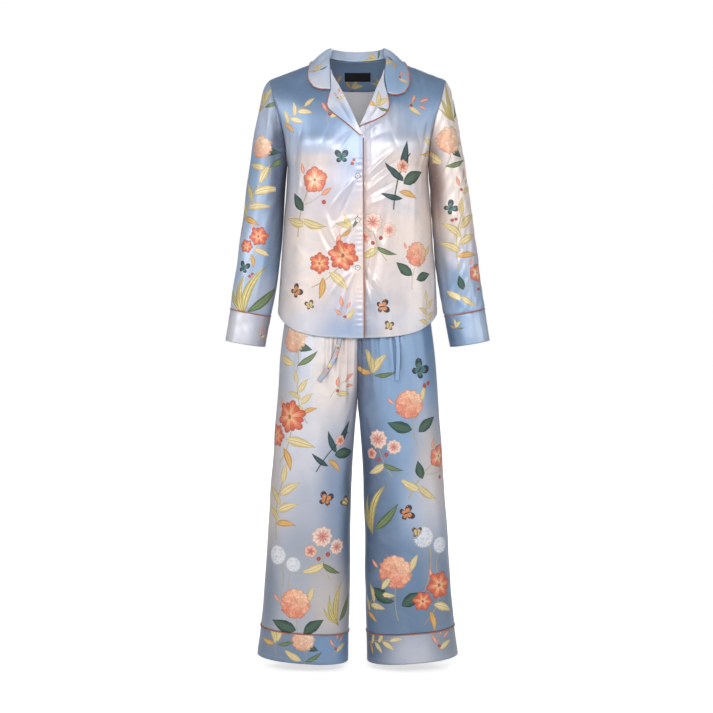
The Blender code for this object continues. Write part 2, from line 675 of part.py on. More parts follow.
def armhole_point(side, angle):
    """The armhole seam at the same height as a ring point of that angle."""
    share = (1.0 + math.cos(angle)) / 2.0
    face = "front" if angle <= math.pi else "back"
    x = armhole_x(share)
    depth = upper_depth(face, share) * armhole_share(face, share)
    y = SHOULDER_Y + (-depth if face == "front" else depth)
    return np.array([side * x, y, upper_z(x, share)])


def sleeve_point(side, along, angle):
    value = {column: read(along) for column, read in sleeve_values.items()}
    plain = ring((value["outer_x"], value["outer_z"]), (value["inner_x"], value["inner_z"]),
                 value["front"], value["back"], value["mid_y"], side, angle)
    fit = ease(along / ARMHOLE_SHARE)
    if fit >= 1.0:
        return plain
    start = {column: read(0.0) for column, read in sleeve_values.items()}
    first = ring((start["outer_x"], start["outer_z"]), (start["inner_x"], start["inner_z"]),
                 start["front"], start["back"], start["mid_y"], side, angle)
    return plain + (armhole_point(side, angle) - first) * (1.0 - fit)


def sleeve_fold(along, angle):
    total = 0.0
    for place, centre, half_length, half_angle, height in SLEEVE_FOLDS:
        turn = (math.degrees(angle) - centre + 180.0) % 360.0 - 180.0
        total += height * math.exp(-((along - place) / half_length) ** 2 - (turn / half_angle) ** 2)
    return total * ease(along / SLEEVE_FOLD_ENDS[0]) * ease((1.0 - along) / SLEEVE_FOLD_ENDS[1])


def sleeve(side):
    grid = np.array([[sleeve_point(side, along, angle) for angle in ring_angles()]
                     for along in SLEEVE_RINGS])
    middle = grid.mean(axis=1, keepdims=True)
    normals = face_out(grid, grid_normals(grid, True), middle)
    for row, along in enumerate(SLEEVE_RINGS):
        for column, angle in enumerate(ring_angles()):
            grid[row, column] += normals[row, column] * sleeve_fold(along, angle)
    for column, angle in enumerate(ring_angles()):
        under = (1.0 - math.cos(angle)) / 2.0
        body = unit(torso_slope(armhole_point(side, angle)))
        normals[0, column] = unit(body * (1.0 - under) + normals[0, column] * under)
    grid[0, :, 0] += side * SLEEVE_CLEAR
    return grid, normals


def cuff(side, rows=2):
    last = {column: read(1.0) for column, read in sleeve_values.items()}
    start = ring_of(last)
    end = (CUFF_END["outer"], CUFF_END["inner"], CUFF_END["front"], CUFF_END["back"], CUFF_END["mid_y"])
    grid = []
    for row in range(rows):
        share = row / (rows - 1)
        mix = [np.asarray(a, float) * (1.0 - share) + np.asarray(b, float) * share for a, b in zip(start, end)]
        grid.append([ring(*mix, side, angle) for angle in ring_angles()])
    grid = np.array(grid)
    normals = face_out(grid, grid_normals(grid, True), grid.mean(axis=1, keepdims=True))
    ahead = unit(grid[1].mean(axis=0) - grid[0].mean(axis=0))
    grid[0] += ahead * SEAM
    return grid, normals


def ring_of(value):
    return ((value["outer_x"], value["outer_z"]), (value["inner_x"], value["inner_z"]),
            value["front"], value["back"], value["mid_y"])


# ================================================================ collar, lapels and neck
def neck_seam(x, z):
    """A point of the neck seam: on the back's top edge where z is None, else on the front."""
    if z is not None:
        return front_point(1, x, z)
    share = back_neck_share(x / NECK_POINT[0])
    width, depth = upper_width("back", share), upper_depth("back", share)
    y = depth * (1.0 - (x / width) ** SECTION_POWER) ** (1.0 / SECTION_POWER)
    return np.array([x, SHOULDER_Y + y - STAND_GAP, upper_z(x, share) + STAND_GAP])


def collar_lines():
    """The collar's four lines, from the right notch round the back of the neck to the left notch."""
    lines = []
    for column in range(1, len(COLLAR_BACK[0])):
        halves = {}
        for side, name in SIDES.items():
            stations = COLLAR_BACK + COLLAR_ENDS[name]
            halves[side] = [np.array(neck_seam(*station[1]) if column == 1 else station[column])
                            * (side, 1.0, 1.0) for station in stations]
        lines.append(np.array(halves[-1][:0:-1] + halves[1]))
    return lines


COLLAR_PLACES = 25
COLLAR_ACROSS = (0.0, 0.17, 0.29, 0.36, 0.44, 0.58, 0.78, 1.0)
COLLAR_LINE_SHARES = (0.0, 0.34, 0.66, 1.0)   # where the four lines stand across the collar
COLLAR_FRONT = 4.4        # stations from the centre back after which the stand lies on the front too
STAND_COLUMNS = 3         # columns of the collar that stand up round the neck


def collar_panel():
    """Outside of the collar: up the stand round the neck, over the turned top and down the fall."""
    lines = collar_lines()
    places = np.arange(len(lines[0]), dtype=float)
    curves = [smooth_table(places, line) for line in lines]
    middle = places[-1] / 2.0
    grid = []
    for place in np.linspace(0.0, places[-1], COLLAR_PLACES):
        points = [curve(place) for curve in curves]
        section = smooth_table(COLLAR_LINE_SHARES, np.array(points))
        row = [section(share) for share in COLLAR_ACROSS]
        on_front = abs(place - middle) > COLLAR_FRONT
        for column in range(len(row)):
            if column > STAND_COLUMNS or on_front:
                row[column] = clear_of_torso(row[column], COLLAR_LIFT)
        grid.append(row)
    return np.array(grid)


def collar_normals(grid):
    normals = grid_normals(grid, False)
    middle = grid.shape[0] // 2
    if normals[middle, -1, 1] < 0.0:
        normals = -normals
    return normals


LAPEL_TURNS = (16.0, 60.0, 110.0, 150.0)      # degrees round the roll
LAPEL_SHARES = (0.0, 0.22, 0.48, 0.74, 1.0)  # from the roll line out to the edge
LAPEL_ROWS = [2.5 + step / 2.0 for step in range(2 * BREAK_ROW - 4)]   # on the front's own rows
GORGE_ROWS = 4                               # rows of the lapel that end on the gorge seam


def smooth_line(table, shares, samples=60):
    """Evenly read points of a line seen from the front."""
    points = np.array([(x, 0.0, z) for x, z in zip(table["x"], table["z"])])
    read = smooth_table(np.arange(len(points)), points)
    return resample([read(place) for place in np.linspace(0, len(points) - 1, samples)], shares)


def surface_of(grid):
    """The panel's own triangles, to find the place on it that lies behind a point."""
    rows, columns = grid.shape[:2]
    triangles = []
    for row in range(rows - 1):
        for column in range(columns - 1):
            a = row * columns + column
            triangles += [(a, a + 1, a + columns + 1), (a, a + columns + 1, a + columns)]
    tree = BVHTree.FromPolygons([tuple(point) for point in grid.reshape(-1, 3)], triangles)

    def behind(point):
        place = tree.ray_cast((point[0], -1.0, point[2]), (0.0, 1.0, 0.0))[0]
        return np.array(point) if place is None else np.array(place)

    return behind


def lapel_panel(side, front):
    """The lapel: round the roll and out over the front to its piped edge, rows from neck to break."""
    roll = np.array([between(front, row, 0.0) for row in LAPEL_ROWS])
    name = SIDES[side]
    gorge = smooth_line(GORGES[name], np.linspace(0.0, 1.0, GORGE_ROWS))
    edge = smooth_line(LAPEL_EDGES[name], np.linspace(0.0, 1.0, len(LAPEL_ROWS) - GORGE_ROWS + 1))
    ends = np.vstack([gorge, edge[1:]])
    on_front = surface_of(front)
    grid, normals = [], []
    for row, (start, end) in enumerate(zip(roll, ends)):
        down = row / (len(roll) - 1)
        along = unit(roll[min(row + 1, len(roll) - 1)] - roll[max(row - 1, 0)])
        into_neck = np.array([along[2], 0.0, -along[0]])
        into_neck *= -1.0 if side * into_neck[0] > 0.0 else 1.0
        inner = LAPEL_ROLL[0] + (LAPEL_ROLL[1] - LAPEL_ROLL[0]) * down
        outer = inner + CLOTH
        normal = front_normal(side, side * start[0], start[2])
        line, out = [], []
        for turn in LAPEL_TURNS:
            angle = math.radians(turn)
            line.append(start + into_neck * outer * math.sin(angle)
                        + normal * (inner - outer * math.cos(angle)))
            out.append(unit(into_neck * math.sin(angle) - normal * math.cos(angle)))
        edge_lift = LAPEL_LIFT[0] + (LAPEL_LIFT[1] - LAPEL_LIFT[0]) * down
        for share in LAPEL_SHARES:
            x = side * start[0] * (1.0 - share) + end[0] * share
            z = start[2] * (1.0 - share) + end[2] * share
            normal = front_normal(side, x, z)
            lift = (inner + outer) * (1.0 - ease(share)) + edge_lift * ease(share)
            place = start if share == 0.0 else on_front(front_point(side, x, z))
            line.append(place + normal * lift)
            out.append(normal)
        grid.append(line)
        normals.append(out)
    return np.array(grid), np.array(normals)


def facing_panel(back, normals):
    """The back neck facing lies on the inside of the back, on the back's own points."""
    middle = back.shape[1] // 2
    block = slice(0, FACING_ROWS), slice(middle - NECK_COLUMNS, middle + NECK_COLUMNS + 1)
    return back[block] - normals[block] * (CLOTH + SEAM), normals[block]


def between(grid, row, column):
    """A point of a grid at fractional row and column."""
    r, c = int(min(row, grid.shape[0] - 2)), int(min(column, grid.shape[1] - 2))
    v, u = row - r, column - c
    top = grid[r, c] * (1.0 - u) + grid[r, c + 1] * u
    bottom = grid[r + 1, c] * (1.0 - u) + grid[r + 1, c + 1] * u
    return top * (1.0 - v) + bottom * v


def label_panel(facing, normals):
    """The blank neck label, sewn flat on the inside of the facing."""
    middle = (facing.shape[1] - 1) / 2.0
    reach = LABEL_AREA["half_columns"]
    columns = [middle - reach, middle - 1, middle, middle + 1, middle + reach]
    rows = LABEL_AREA["rows"]
    out = unit(np.array([[between(normals, row, column) for column in columns] for row in rows]))
    grid = np.array([[between(facing, row, column) for column in columns] for row in rows])
    return grid - out * (CLOTH + SEAM), out


def border_cord(grid, normals, border):
    """Path of the piping just past a panel's edge; `border` pairs each edge place with one inside it."""
    edge = np.array([grid[place] for place, _ in border])
    inside = np.array([grid[place] for _, place in border])
    out = np.array([normals[place] for place, _ in border])
    along = unit(np.gradient(edge, axis=0))
    outward = edge - inside
    outward -= along * np.sum(outward * along, axis=1, keepdims=True)
    outward -= out * np.sum(outward * out, axis=1, keepdims=True)
    return edge + unit(outward) * (PIPING / 2.0 + EDGE_GAP) - out * CLOTH / 2.0


def column_border(rows, column, inner):
    return [((row, column), (row, inner)) for row in rows]


def collar_border(grid):
    """From one notch along the short end, round the fall's edge and along the other short end."""
    rows, last = grid.shape[0], grid.shape[1] - 1
    first_end = [((0, column), (1, column)) for column in range(1, last)]
    corner = [((0, last), (1, last - 1))]
    edge = [((row, last), (row, last - 1)) for row in range(1, rows - 1)]
    other_corner = [((rows - 1, last), (rows - 2, last - 1))]
    other_end = [((rows - 1, column), (rows - 2, column)) for column in range(last - 1, 0, -1)]
    return first_end + corner + edge + other_corner + other_end


def ring_cord(grid, normals):
    """Path of the piping round the top of a cuff or hem band."""
    down = unit(grid[1] - grid[0])
    return grid[0] + down * PIPING / 2.0 + normals[0] * (PIPING / 2.0 + SEAM)


def button(name, side, z, material):
    """A round button standing on the upper front at the centre line."""
    normal = front_normal(side, 0.0, z)
    across = unit(np.cross(normal, (0.0, 0.0, 1.0)))
    up = np.cross(across, normal)
    foot = front_point(side, 0.0, z) + normal * BUTTON_LIFT
    vertices, faces = [], []
    for radius, height in BUTTON_PROFILE:
        for step in range(BUTTON_SIDES):
            angle = 2.0 * math.pi * step / BUTTON_SIDES
            vertices.append(foot + normal * height
                            + (across * math.cos(angle) + up * math.sin(angle)) * radius)
    for level in range(len(BUTTON_PROFILE) - 1):
        for step in range(BUTTON_SIDES):
            following = (step + 1) % BUTTON_SIDES
            faces.append([level * BUTTON_SIDES + step, level * BUTTON_SIDES + following,
                          (level + 1) * BUTTON_SIDES + following, (level + 1) * BUTTON_SIDES + step])
    faces.append(list(range(BUTTON_SIDES))[::-1])
    faces.append([(len(BUTTON_PROFILE) - 1) * BUTTON_SIDES + step for step in range(BUTTON_SIDES)])
    return add_mesh(name, vertices, faces, material)


# ================================================================ trousers
trouser = {column: smooth_table(TROUSERS["z"], TROUSERS[column]) for column in ("outer", "front", "back")}
leg_inner = smooth_table(LEG_INNER["z"], LEG_INNER["x"])


def parting(z):
    """0 where the body is one tube, 1 where the two legs have parted."""
    down = min(max((SEAT_TOP - z) / (SEAT_TOP - CROTCH), 0.0), 1.0)
    return 1.0 - (1.0 - down) ** PARTING_ROUND


def leg_point(face, side, z, turn):
    """A point of one leg's front or back half; turn is 0 at the outseam and 1 at the inner seam."""
    outer, depth, inner = trouser["outer"](z), trouser[face](z), max(leg_inner(z), SEAM / 2.0)
    parted, power = parting(z), 2.0 / LEG_POWER
    half = (outer - inner) * (1.0 - parted / 2.0)
    cut = (parted / (2.0 - parted)) ** (LEG_POWER / 2.0)
    angle = turn * math.acos(-cut)
    x = outer - half + half * signed_power(math.cos(angle), power)
    y = depth * max(math.sin(angle), 0.0) ** power
    tilt = HEM_TILT * min(max((CROTCH - z) / (CROTCH - HEM_Z), 0.0), 1.0)
    reach = (x - inner) / (outer - inner)
    return np.array([side * max(x, inner), -y if face == "front" else y, z + tilt * reach])


def leg_line(face, side, z, samples=48):
    return [leg_point(face, side, z, step / (samples - 1)) for step in range(samples)]


def trouser_rows(band_top):
    hip = [WAIST_SEAM - SEAM]
    seat = [SEAT_TOP + (CROTCH - SEAT_TOP) * share for share in SEAT_ROWS]
    leg = [CROTCH + (band_top - CROTCH) * ((step + 1) / LEG_ROWS) for step in range(LEG_ROWS)]
    return hip + seat + leg


def leg_centre(grid, side):
    centre = grid.copy()
    for row in range(grid.shape[0]):
        z = grid[row, 0, 2]
        centre[row, :, 0] = side * (trouser["outer"](z) + leg_inner(z)) / 2.0
    centre[..., 1] = 0.0
    return centre


def trouser_panel(face, side):
    shares = GATHER_SHARES if face == "front" else BACK_SHARES
    band_top = HEM_Z + BAND_HEIGHT
    grid = np.array([resample(leg_line(face, side, z), shares) for z in trouser_rows(band_top)])
    normals = face_out(grid, grid_normals(grid, False), leg_centre(grid, side))
    if face == "front":
        for row in range(grid.shape[0]):
            z = grid[row, 0, 2]
            fade = ease((z - GATHER_END) / (WAIST_SEAM - GATHER_END) * GATHER_HOLD)
            grid[row] += normals[row] * (np.array(GATHER_HEIGHTS) * fade)[:, None]
    crotch_row = grid.shape[0] - LEG_ROWS - 1
    flatten(normals, [(slice(None), 0, 1), (slice(0, crotch_row), -1, 0), (slice(crotch_row, None), -1, 1)])
    gap = SEAM / 2.0 if face == "back" else -SEAM / 2.0
    grid[:, 0, 1] += gap
    grid[crotch_row:, -1, 1] += gap
    return grid, normals


def hem_band(side, rows=2):
    top, bottom = HEM_Z + BAND_HEIGHT - SEAM, HEM_Z
    grid = []
    for row in range(rows):
        z = top + (bottom - top) * row / (rows - 1)
        front = resample(leg_line("front", side, z), np.linspace(0.0, 1.0, BAND_POINTS))
        back = resample(leg_line("back", side, z), np.linspace(0.0, 1.0, BAND_POINTS))
        grid.append(np.vstack([front, back[-2:0:-1]]))
    grid = np.array(grid)
    normals = face_out(grid, grid_normals(grid, True), grid.mean(axis=1, keepdims=True))
    return grid, normals


def waistband():
    grid = []
    for z in (WAIST_TOP, WAIST_SEAM):
        row = []
        for step in range(WAIST_POINTS):
            angle = 2.0 * math.pi * step / WAIST_POINTS
            power = 2.0 / LEG_POWER
            face = "front" if math.sin(angle) < 0.0 else "back"
            swell = WAIST_WAVE / 2.0 * (-1.0) ** step
            x = (trouser["outer"](z) + swell) * signed_power(math.cos(angle), power)
            y = (trouser[face](z) + swell) * signed_power(math.sin(angle), power)
            row.append((x, y, z))
        grid.append(row)
    grid = np.array(grid)
    normals = face_out(grid, grid_normals(grid, True), grid.mean(axis=1, keepdims=True))
    return grid, normals


def tie_panel(route):
    """A flat free end of the drawstring, hanging edge on to the front."""
    points = np.array(route)
    read = smooth_table(np.arange(len(points)), points)
    line = resample([read(place) for place in np.linspace(0, len(points) - 1, 80)],
                    np.linspace(0.0, 1.0, TIE_ROWS))
    ahead = unit(np.gradient(line, axis=0))
    across = unit(np.cross(ahead, (0.0, -1.0, 0.0)))
    grid = np.stack([line - across * TIE["width"] / 2.0, line + across * TIE["width"] / 2.0], axis=1)
    out = unit(np.cross(across, ahead))
    out = np.where(out[:, 1:2] > 0.0, -out, out)
    return grid, np.repeat(out[:, None, :], 2, axis=1)


# ================================================================ build
def build():
    clear_scene()
    blue = make_material("satin_blue", SATIN_BLUE, 0.32)
    pale = make_material("satin_pale", SATIN_PALE, 0.32)
    rust = make_material("piping_rust", PIPING_RUST, 0.45)
    pearl = make_material("button_pearl", PEARL, 0.25)
    black = make_material("label_black", LABEL_BLACK, 0.6)

    back, back_out = back_panel()
    wall("back", back, back_out, blue)
    facing, facing_out = facing_panel(back, back_out)
    wall("back_neck_facing", facing, facing_out, blue)
    wall("neck_label", *label_panel(facing, facing_out), black, thickness=LABEL_WALL)
    collar = collar_panel()
    collar_out = collar_normals(collar)
    wall("collar", collar, collar_out, blue)
    tube("piping_collar", border_cord(collar, collar_out, collar_border(collar)), rust)
    wall("waistband", *waistband(), blue, closed=True)

    for side, name in SIDES.items():
        front, front_out = front_panel(side)
        wall("front_" + name, front, front_out, pale)
        if side < 0:
            edge = column_border(range(BREAK_ROW, front.shape[0]), 0, 1)
            tube("piping_front_edge", trimmed(border_cord(front, front_out, edge), start=PIPING), rust)
        lapel, lapel_out = lapel_panel(side, front)
        wall("lapel_" + name, lapel, lapel_out, pale)
        edge = column_border(range(GORGE_ROWS - 1, lapel.shape[0]), -1, -2)
        tube("piping_lapel_" + name, trimmed(border_cord(lapel, lapel_out, edge), start=PIPING), rust)
        wall("sleeve_" + name, *sleeve(side), blue, closed=True)
        cuff_grid, cuff_out = cuff(side)
        wall("cuff_" + name, cuff_grid, cuff_out, pale, closed=True)
        tube("piping_cuff_" + name, ring_cord(cuff_grid, cuff_out), rust, closed=True)
        for face in ("front", "back"):
            wall("trouser_%s_%s" % (face, name), *trouser_panel(face, side), blue)
        band, band_out = hem_band(side)
        wall("hem_band_" + name, band, band_out, blue, closed=True)
        tube("piping_hem_" + name, ring_cord(band, band_out), rust, closed=True)
        tie, tie_out = tie_panel(TIE_ROUTES[name])
        wall("drawstring_end_" + name, tie, tie_out, blue, thickness=TIE["thickness"])
    for number, height in enumerate(BUTTON_HEIGHTS, start=1):
        button("button_%d" % number, -1, height, pearl)


build()
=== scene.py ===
# %% [markdown]
# # A satin pyjama set, filled out as worn
# The set is a long-sleeved jacket with a notched collar over wide trousers, in printed satin.  Cloth
# could be draped by a simulation, but then nobody chooses where it creases.  Here each piece is a grid
# of points worked out from tables of sizes, moved by listed creases and closed into a thin shell.
# Colour, print, trims and light follow, one step to a cell.
# %% Start
import math
import bmesh
import bpy
import numpy as np
from mathutils.bvhtree import BVHTree
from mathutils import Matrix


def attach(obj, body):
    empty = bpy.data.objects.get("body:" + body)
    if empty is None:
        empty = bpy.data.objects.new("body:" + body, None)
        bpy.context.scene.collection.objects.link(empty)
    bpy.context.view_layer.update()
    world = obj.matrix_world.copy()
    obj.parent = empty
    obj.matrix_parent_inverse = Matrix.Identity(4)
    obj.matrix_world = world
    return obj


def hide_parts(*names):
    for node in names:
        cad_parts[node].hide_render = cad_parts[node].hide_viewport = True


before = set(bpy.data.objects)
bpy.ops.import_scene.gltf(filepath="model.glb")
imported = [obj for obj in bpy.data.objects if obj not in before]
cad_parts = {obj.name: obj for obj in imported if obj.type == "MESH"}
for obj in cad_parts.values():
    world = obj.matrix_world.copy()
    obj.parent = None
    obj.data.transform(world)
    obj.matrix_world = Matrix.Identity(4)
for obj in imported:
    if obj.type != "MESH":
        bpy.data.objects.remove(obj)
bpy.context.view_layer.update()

SIDES = {-1: "right", 1: "left"}          # the wearer's right is at -X

# %% [markdown]
# ## Camera
# The set is looked at from the front and a little above, from 4 m away, so that it is hardly
# distorted.  `seen` works out where a point of the model falls in a 713 x 713 frame, and `seen_back`
# does the same for the back, as if looked at through the front.  Creases and colours are then placed
# where they are seen, in frame units, which is easier than in metres on a curved sleeve.
# %% Camera
FRAME, FOCAL, DISTANCE, TILT = 713, 1727.0, 4.0, math.radians(3.9)
TARGET = np.array((-0.0026, 0.0, -0.6837))
EYE = TARGET + DISTANCE * np.array((0.0, -math.cos(TILT), math.sin(TILT)))
camera_data = bpy.data.cameras.new("camera")
camera_data.sensor_width, camera_data.lens = 36.0, 36.0 * FOCAL / FRAME
camera = bpy.data.objects.new("camera", camera_data)
camera.location, camera.rotation_euler = EYE, (math.pi / 2.0 - TILT, 0.0, 0.0)
bpy.context.scene.collection.objects.link(camera)
bpy.context.scene.camera = camera


def seen(points):
    reach = np.asarray(points) - EYE
    depth = reach[..., 1] * math.cos(TILT) - reach[..., 2] * math.sin(TILT)
    up = reach[..., 1] * math.sin(TILT) + reach[..., 2] * math.cos(TILT)
    return np.stack([FRAME / 2 + FOCAL * reach[..., 0] / depth, FRAME / 2 - FOCAL * up / depth], -1)


def seen_back(points):
    return seen(np.asarray(points) * (1.0, -1.0, 1.0))


print("camera lens", round(camera_data.lens, 1))

# %% [markdown]
# ## The drawstring's free ends
# Two flat ends of the same satin, 10 mm wide, leave the waistband's hidden casing, hang in front of the
# trousers and show under the jacket's hem.  A simulation could hang them.  A short list of points along
# each is enough, because they are limp, short and lie close to the cloth.
# %% The ties' routes
TIE_WIDTH = 0.01
TIE_ROUTES = {
    -1: ((-.03, -.09, -.458), (-.0305, -.0912, -.49), (-.032, -.0957, -.54), (-.035, -.0998, -.59),
         (-.04, -.1018, -.635), (-.05, -.102, -.672), (-.066, -.1018, -.703), (-.088, -.1012, -.733)),
    1: ((.03, -.09, -.458), (.034, -.091, -.49), (.048, -.0938, -.535), (.068, -.0964, -.58),
        (.084, -.098, -.618), (.091, -.0994, -.652), (.0915, -.101, -.69), (.089, -.1012, -.732)),
}
print(len(TIE_ROUTES), "ties")

# %% [markdown]
# ## Reading tables smoothly
# A maker's measures are few: a width here, a depth there.  `smooth` draws an even curve through such
# a table, so that a form can be read at any height.  The other helpers are small sums on lists of
# points: `ease` is a soft step, `run_along` measures a line, `resample` spaces points evenly along it,
# `grid_normals` finds which way a sheet faces at each of its points, and `tube` does so for rings.
# Long tables are typed as plain rows, and `read_table` turns them into names and numbers.
# %% Small helpers


def read_table(text):
    """Rows typed as plain values: `name: value value, value value; name: ...`."""
    def value(word):
        return word if word[-1].isalpha() else float(word)

    return {name.strip(): [[value(word) for word in row.split()] for row in rows.split(",")]
            for name, rows in (block.split(":") for block in text.split(";"))}


def smooth(places, values):
    """A smooth curve through a table's rows, read at one place or many."""
    places, values = np.asarray(places, float), np.asarray(values, float)
    slopes = np.gradient(values, places, axis=0)

    def read(place):
        place = np.clip(np.asarray(place, float), places[0], places[-1])
        row = np.clip(np.searchsorted(places, place, side="right") - 1, 0, len(places) - 2)
        span = places[row + 1] - places[row]
        t = (place - places[row]) / span
        if values.ndim > 1:
            t, span = t[..., None], span[..., None]
        return ((2 * t ** 3 - 3 * t ** 2 + 1) * values[row] + (t ** 3 - 2 * t ** 2 + t) * span * slopes[row]
                + (3 * t ** 2 - 2 * t ** 3) * values[row + 1] + (t ** 3 - t ** 2) * span * slopes[row + 1])

    return read


def steps(count):
    """Even shares from 0 to 1, both ends included."""
    return np.linspace(0.0, 1.0, count + 1)


def circle(count):
    return np.linspace(0.0, 2.0 * math.pi, count, endpoint=False)


def ease(share):
    share = np.clip(share, 0.0, 1.0)
    return share * share * (3.0 - 2.0 * share)


def spow(value, power):
    return np.sign(value) * np.abs(value) ** power


def unit(vector):
    return vector / np.maximum(np.linalg.norm(vector, axis=-1, keepdims=True), 1e-12)


def run_along(points, axis=0):
    """Distance from the first point, along a line or along one way of a grid."""
    first = np.take(points, [0], axis)
    return np.cumsum(np.linalg.norm(np.diff(points, axis=axis, prepend=first), axis=-1), axis)


def resample(points, shares):
    points = np.asarray(points, float)
    run = run_along(points)
    return np.stack([np.interp(shares, run / run[-1], part) for part in points.T], -1)


def grid_normals(grid, closed, centre):
    """Area-weighted normals of rows x columns of points, away from the centre."""
    wide = np.concatenate([grid, grid[:, :1]], axis=1) if closed else grid
    faces = np.cross(wide[1:, 1:] - wide[:-1, :-1], wide[1:, :-1] - wide[:-1, 1:])
    total = np.zeros(wide.shape)
    for rows in (slice(None, -1), slice(1, None)):
        for columns in (slice(None, -1), slice(1, None)):
            total[rows, columns] += faces
    if closed:
        total[:, 0] += total[:, -1]
        total = total[:, :-1]
    normals = unit(total)
    return -normals if float(np.sum(normals * (grid - centre))) < 0.0 else normals


def tube(rings):
    """A grid of closed rings, with its normals."""
    grid = np.array(rings)
    return grid, grid_normals(grid, True, grid.mean(axis=1, keepdims=True))


print("a smooth table of 0, 1, 4 read at 1.5 gives", float(smooth((0, 1, 2), (0, 1, 4))(1.5)))

# %% [markdown]
# ## The jacket's body in sizes
# From above, the body is a rounded square (the power 2.4 lies between a circle's 2 and a square's many).
# It could be sculpted, but then no size would be known.  Each place in the tables is a height
# with its half width and depth, and the hem has a table of its own, because a shirt-tail hem dips in
# the middle and rises at the side seams.
# %% Body sizes
SECTION = 2.4
NECK, SHOULDER, SHOULDER_Y, UNDERARM, FRONT_EDGE = (0.069, 0.0018), (0.2038, -0.05), 0.004, -0.248, 0.012
UNDERLAP = (0.0057, 0.034, -0.086, -0.126)     # depth, width, and the heights between which it begins
UPPER = {"front": (0.1245, 1.7, 0.74), "back": (0.109, 2.1, 0.8)}   # depth, fall and armhole share
ROLL_OVER, ARMHOLE_ROUND = 2.2, (2.2, 0.6)
SECTION_Z = (-0.66, -0.5836, -0.4516, -0.368, -0.301, UNDERARM)
half_width = smooth(SECTION_Z, (0.1862, 0.1842, 0.175, 0.1692, 0.164, 0.161))
body_depth = {"front": smooth(SECTION_Z, (0.115, 0.114, 0.116, 0.1195, 0.124, 0.1245)),
              "back": smooth(SECTION_Z, (0.114, 0.112, 0.103, 0.101, 0.105, 0.109))}
HEM_PLACES = (0.0, 0.3, 0.5, 0.66, 0.85, 1.0)
hem_height = {"front": smooth(HEM_PLACES, (-0.635, -0.63, -0.62, -0.606, -0.588, -0.5775)),
              "back": smooth(HEM_PLACES, (-0.642, -0.637, -0.625, -0.608, -0.588, -0.5775))}
print("chest half width", float(half_width(UNDERARM)))

# %% [markdown]
# ## Shoulder, armhole and roll line
# Above the underarm a row isn't level.  It lies at a share of the way from the underarm (0) up to the
# sloping shoulder seam (1), so that the last row is the seam itself and no row is cut across by it.
# The armhole, and the line on which each lapel rolls back, are tables along that share.
# %% Shoulder, armhole and roll


def shoulder_z(x):
    x, slope = np.abs(x), (SHOULDER[1] - NECK[1]) / (SHOULDER[0] - NECK[0])
    return np.where(x >= NECK[0], NECK[1] + (x - NECK[0]) * slope,
                    NECK[1] - slope * NECK[0] / 2.0 * (1.0 - (x / NECK[0]) ** 2))


def upper_share(x, z):
    return (z - UNDERARM) / (shoulder_z(x) - UNDERARM)


def upper_z(x, share):
    return UNDERARM + share * (shoulder_z(x) - UNDERARM)


def seam_x(xs, zs):
    return smooth(upper_share(np.array(xs), np.array(zs)), xs)


armhole_x = seam_x((0.161, 0.1622, 0.165, 0.1765, 0.1915, 0.1995, SHOULDER[0]),
                   (UNDERARM, -0.2328, -0.1936, -0.1401, -0.0915, -0.06, SHOULDER[1]))
ROLL_Z = (-0.185, -0.157, -0.112, -0.071, -0.043, -0.013, NECK[1])
roll_x = {-1: seam_x((-FRONT_EDGE, 0.0004, 0.0207, 0.0421, 0.0576, 0.0635, NECK[0]), ROLL_Z),
          1: seam_x((-FRONT_EDGE, 0.0062, 0.0278, 0.0448, 0.0572, 0.064, NECK[0]), ROLL_Z)}
BREAK_SHARE = float(upper_share(FRONT_EDGE, ROLL_Z[0]))
print("the lapels break at share", round(BREAK_SHARE, 3))

# %% [markdown]
# ## Rows of the body
# A sheet's points should be evenly spaced, or its creases come out sharp in one place and blurred in
# another.  `even_shares` spaces the rows by their distance along the curve over the shoulder, and
# `body_line` gives one row from the middle of the front or back out to the armhole or side seam.
# %% Rows of the body
UPPER_STEPS, LOWER_STEPS, FRONT_COLUMNS, NECK_COLUMNS, SIDE_COLUMNS = 108, 128, 96, 20, 52


def upper_depth(face, share):
    depth, fall, _ = UPPER[face]
    return depth * np.maximum(1.0 - share ** fall, 0.0) ** (1.0 / ROLL_OVER)


def even_shares(steps, samples=4000):
    """Shares from the shoulder to the underarm, evenly spaced along the front's curve."""
    share = 1.0 - np.linspace(0.0, 1.0, samples) ** 2.5
    curve = np.stack([upper_depth("front", share), share * -UNDERARM], -1)
    run = run_along(curve)
    return np.interp(np.linspace(0.0, run[-1], steps + 1), run, share)


SHARES = even_shares(UPPER_STEPS)
BREAK_ROW = int(np.argmin(np.abs(SHARES - BREAK_SHARE)))
SHARES[BREAK_ROW] = BREAK_SHARE
ROWS = [("upper", float(share)) for share in SHARES]
ROWS += [("lower", (step + 1) / LOWER_STEPS) for step in range(LOWER_STEPS)]


def armhole_share(face, share):
    return UPPER[face][2] * (1.0 - (1.0 - share) ** ARMHOLE_ROUND[0]) ** ARMHOLE_ROUND[1]


def upper_width(face, share):
    return armhole_x(share) / (1.0 - armhole_share(face, share) ** SECTION) ** (1.0 / SECTION)


def angle_of(ratio):
    return np.arcsin(np.clip(spow(ratio, SECTION / 2.0), -1.0, 1.0))


def section(face, width, depth, angle):
    x = width * spow(np.sin(angle), 2.0 / SECTION)
    y = depth * np.maximum(np.cos(angle), 0.0) ** (2.0 / SECTION)
    return x, SHOULDER_Y + (-y if face == "front" else y)


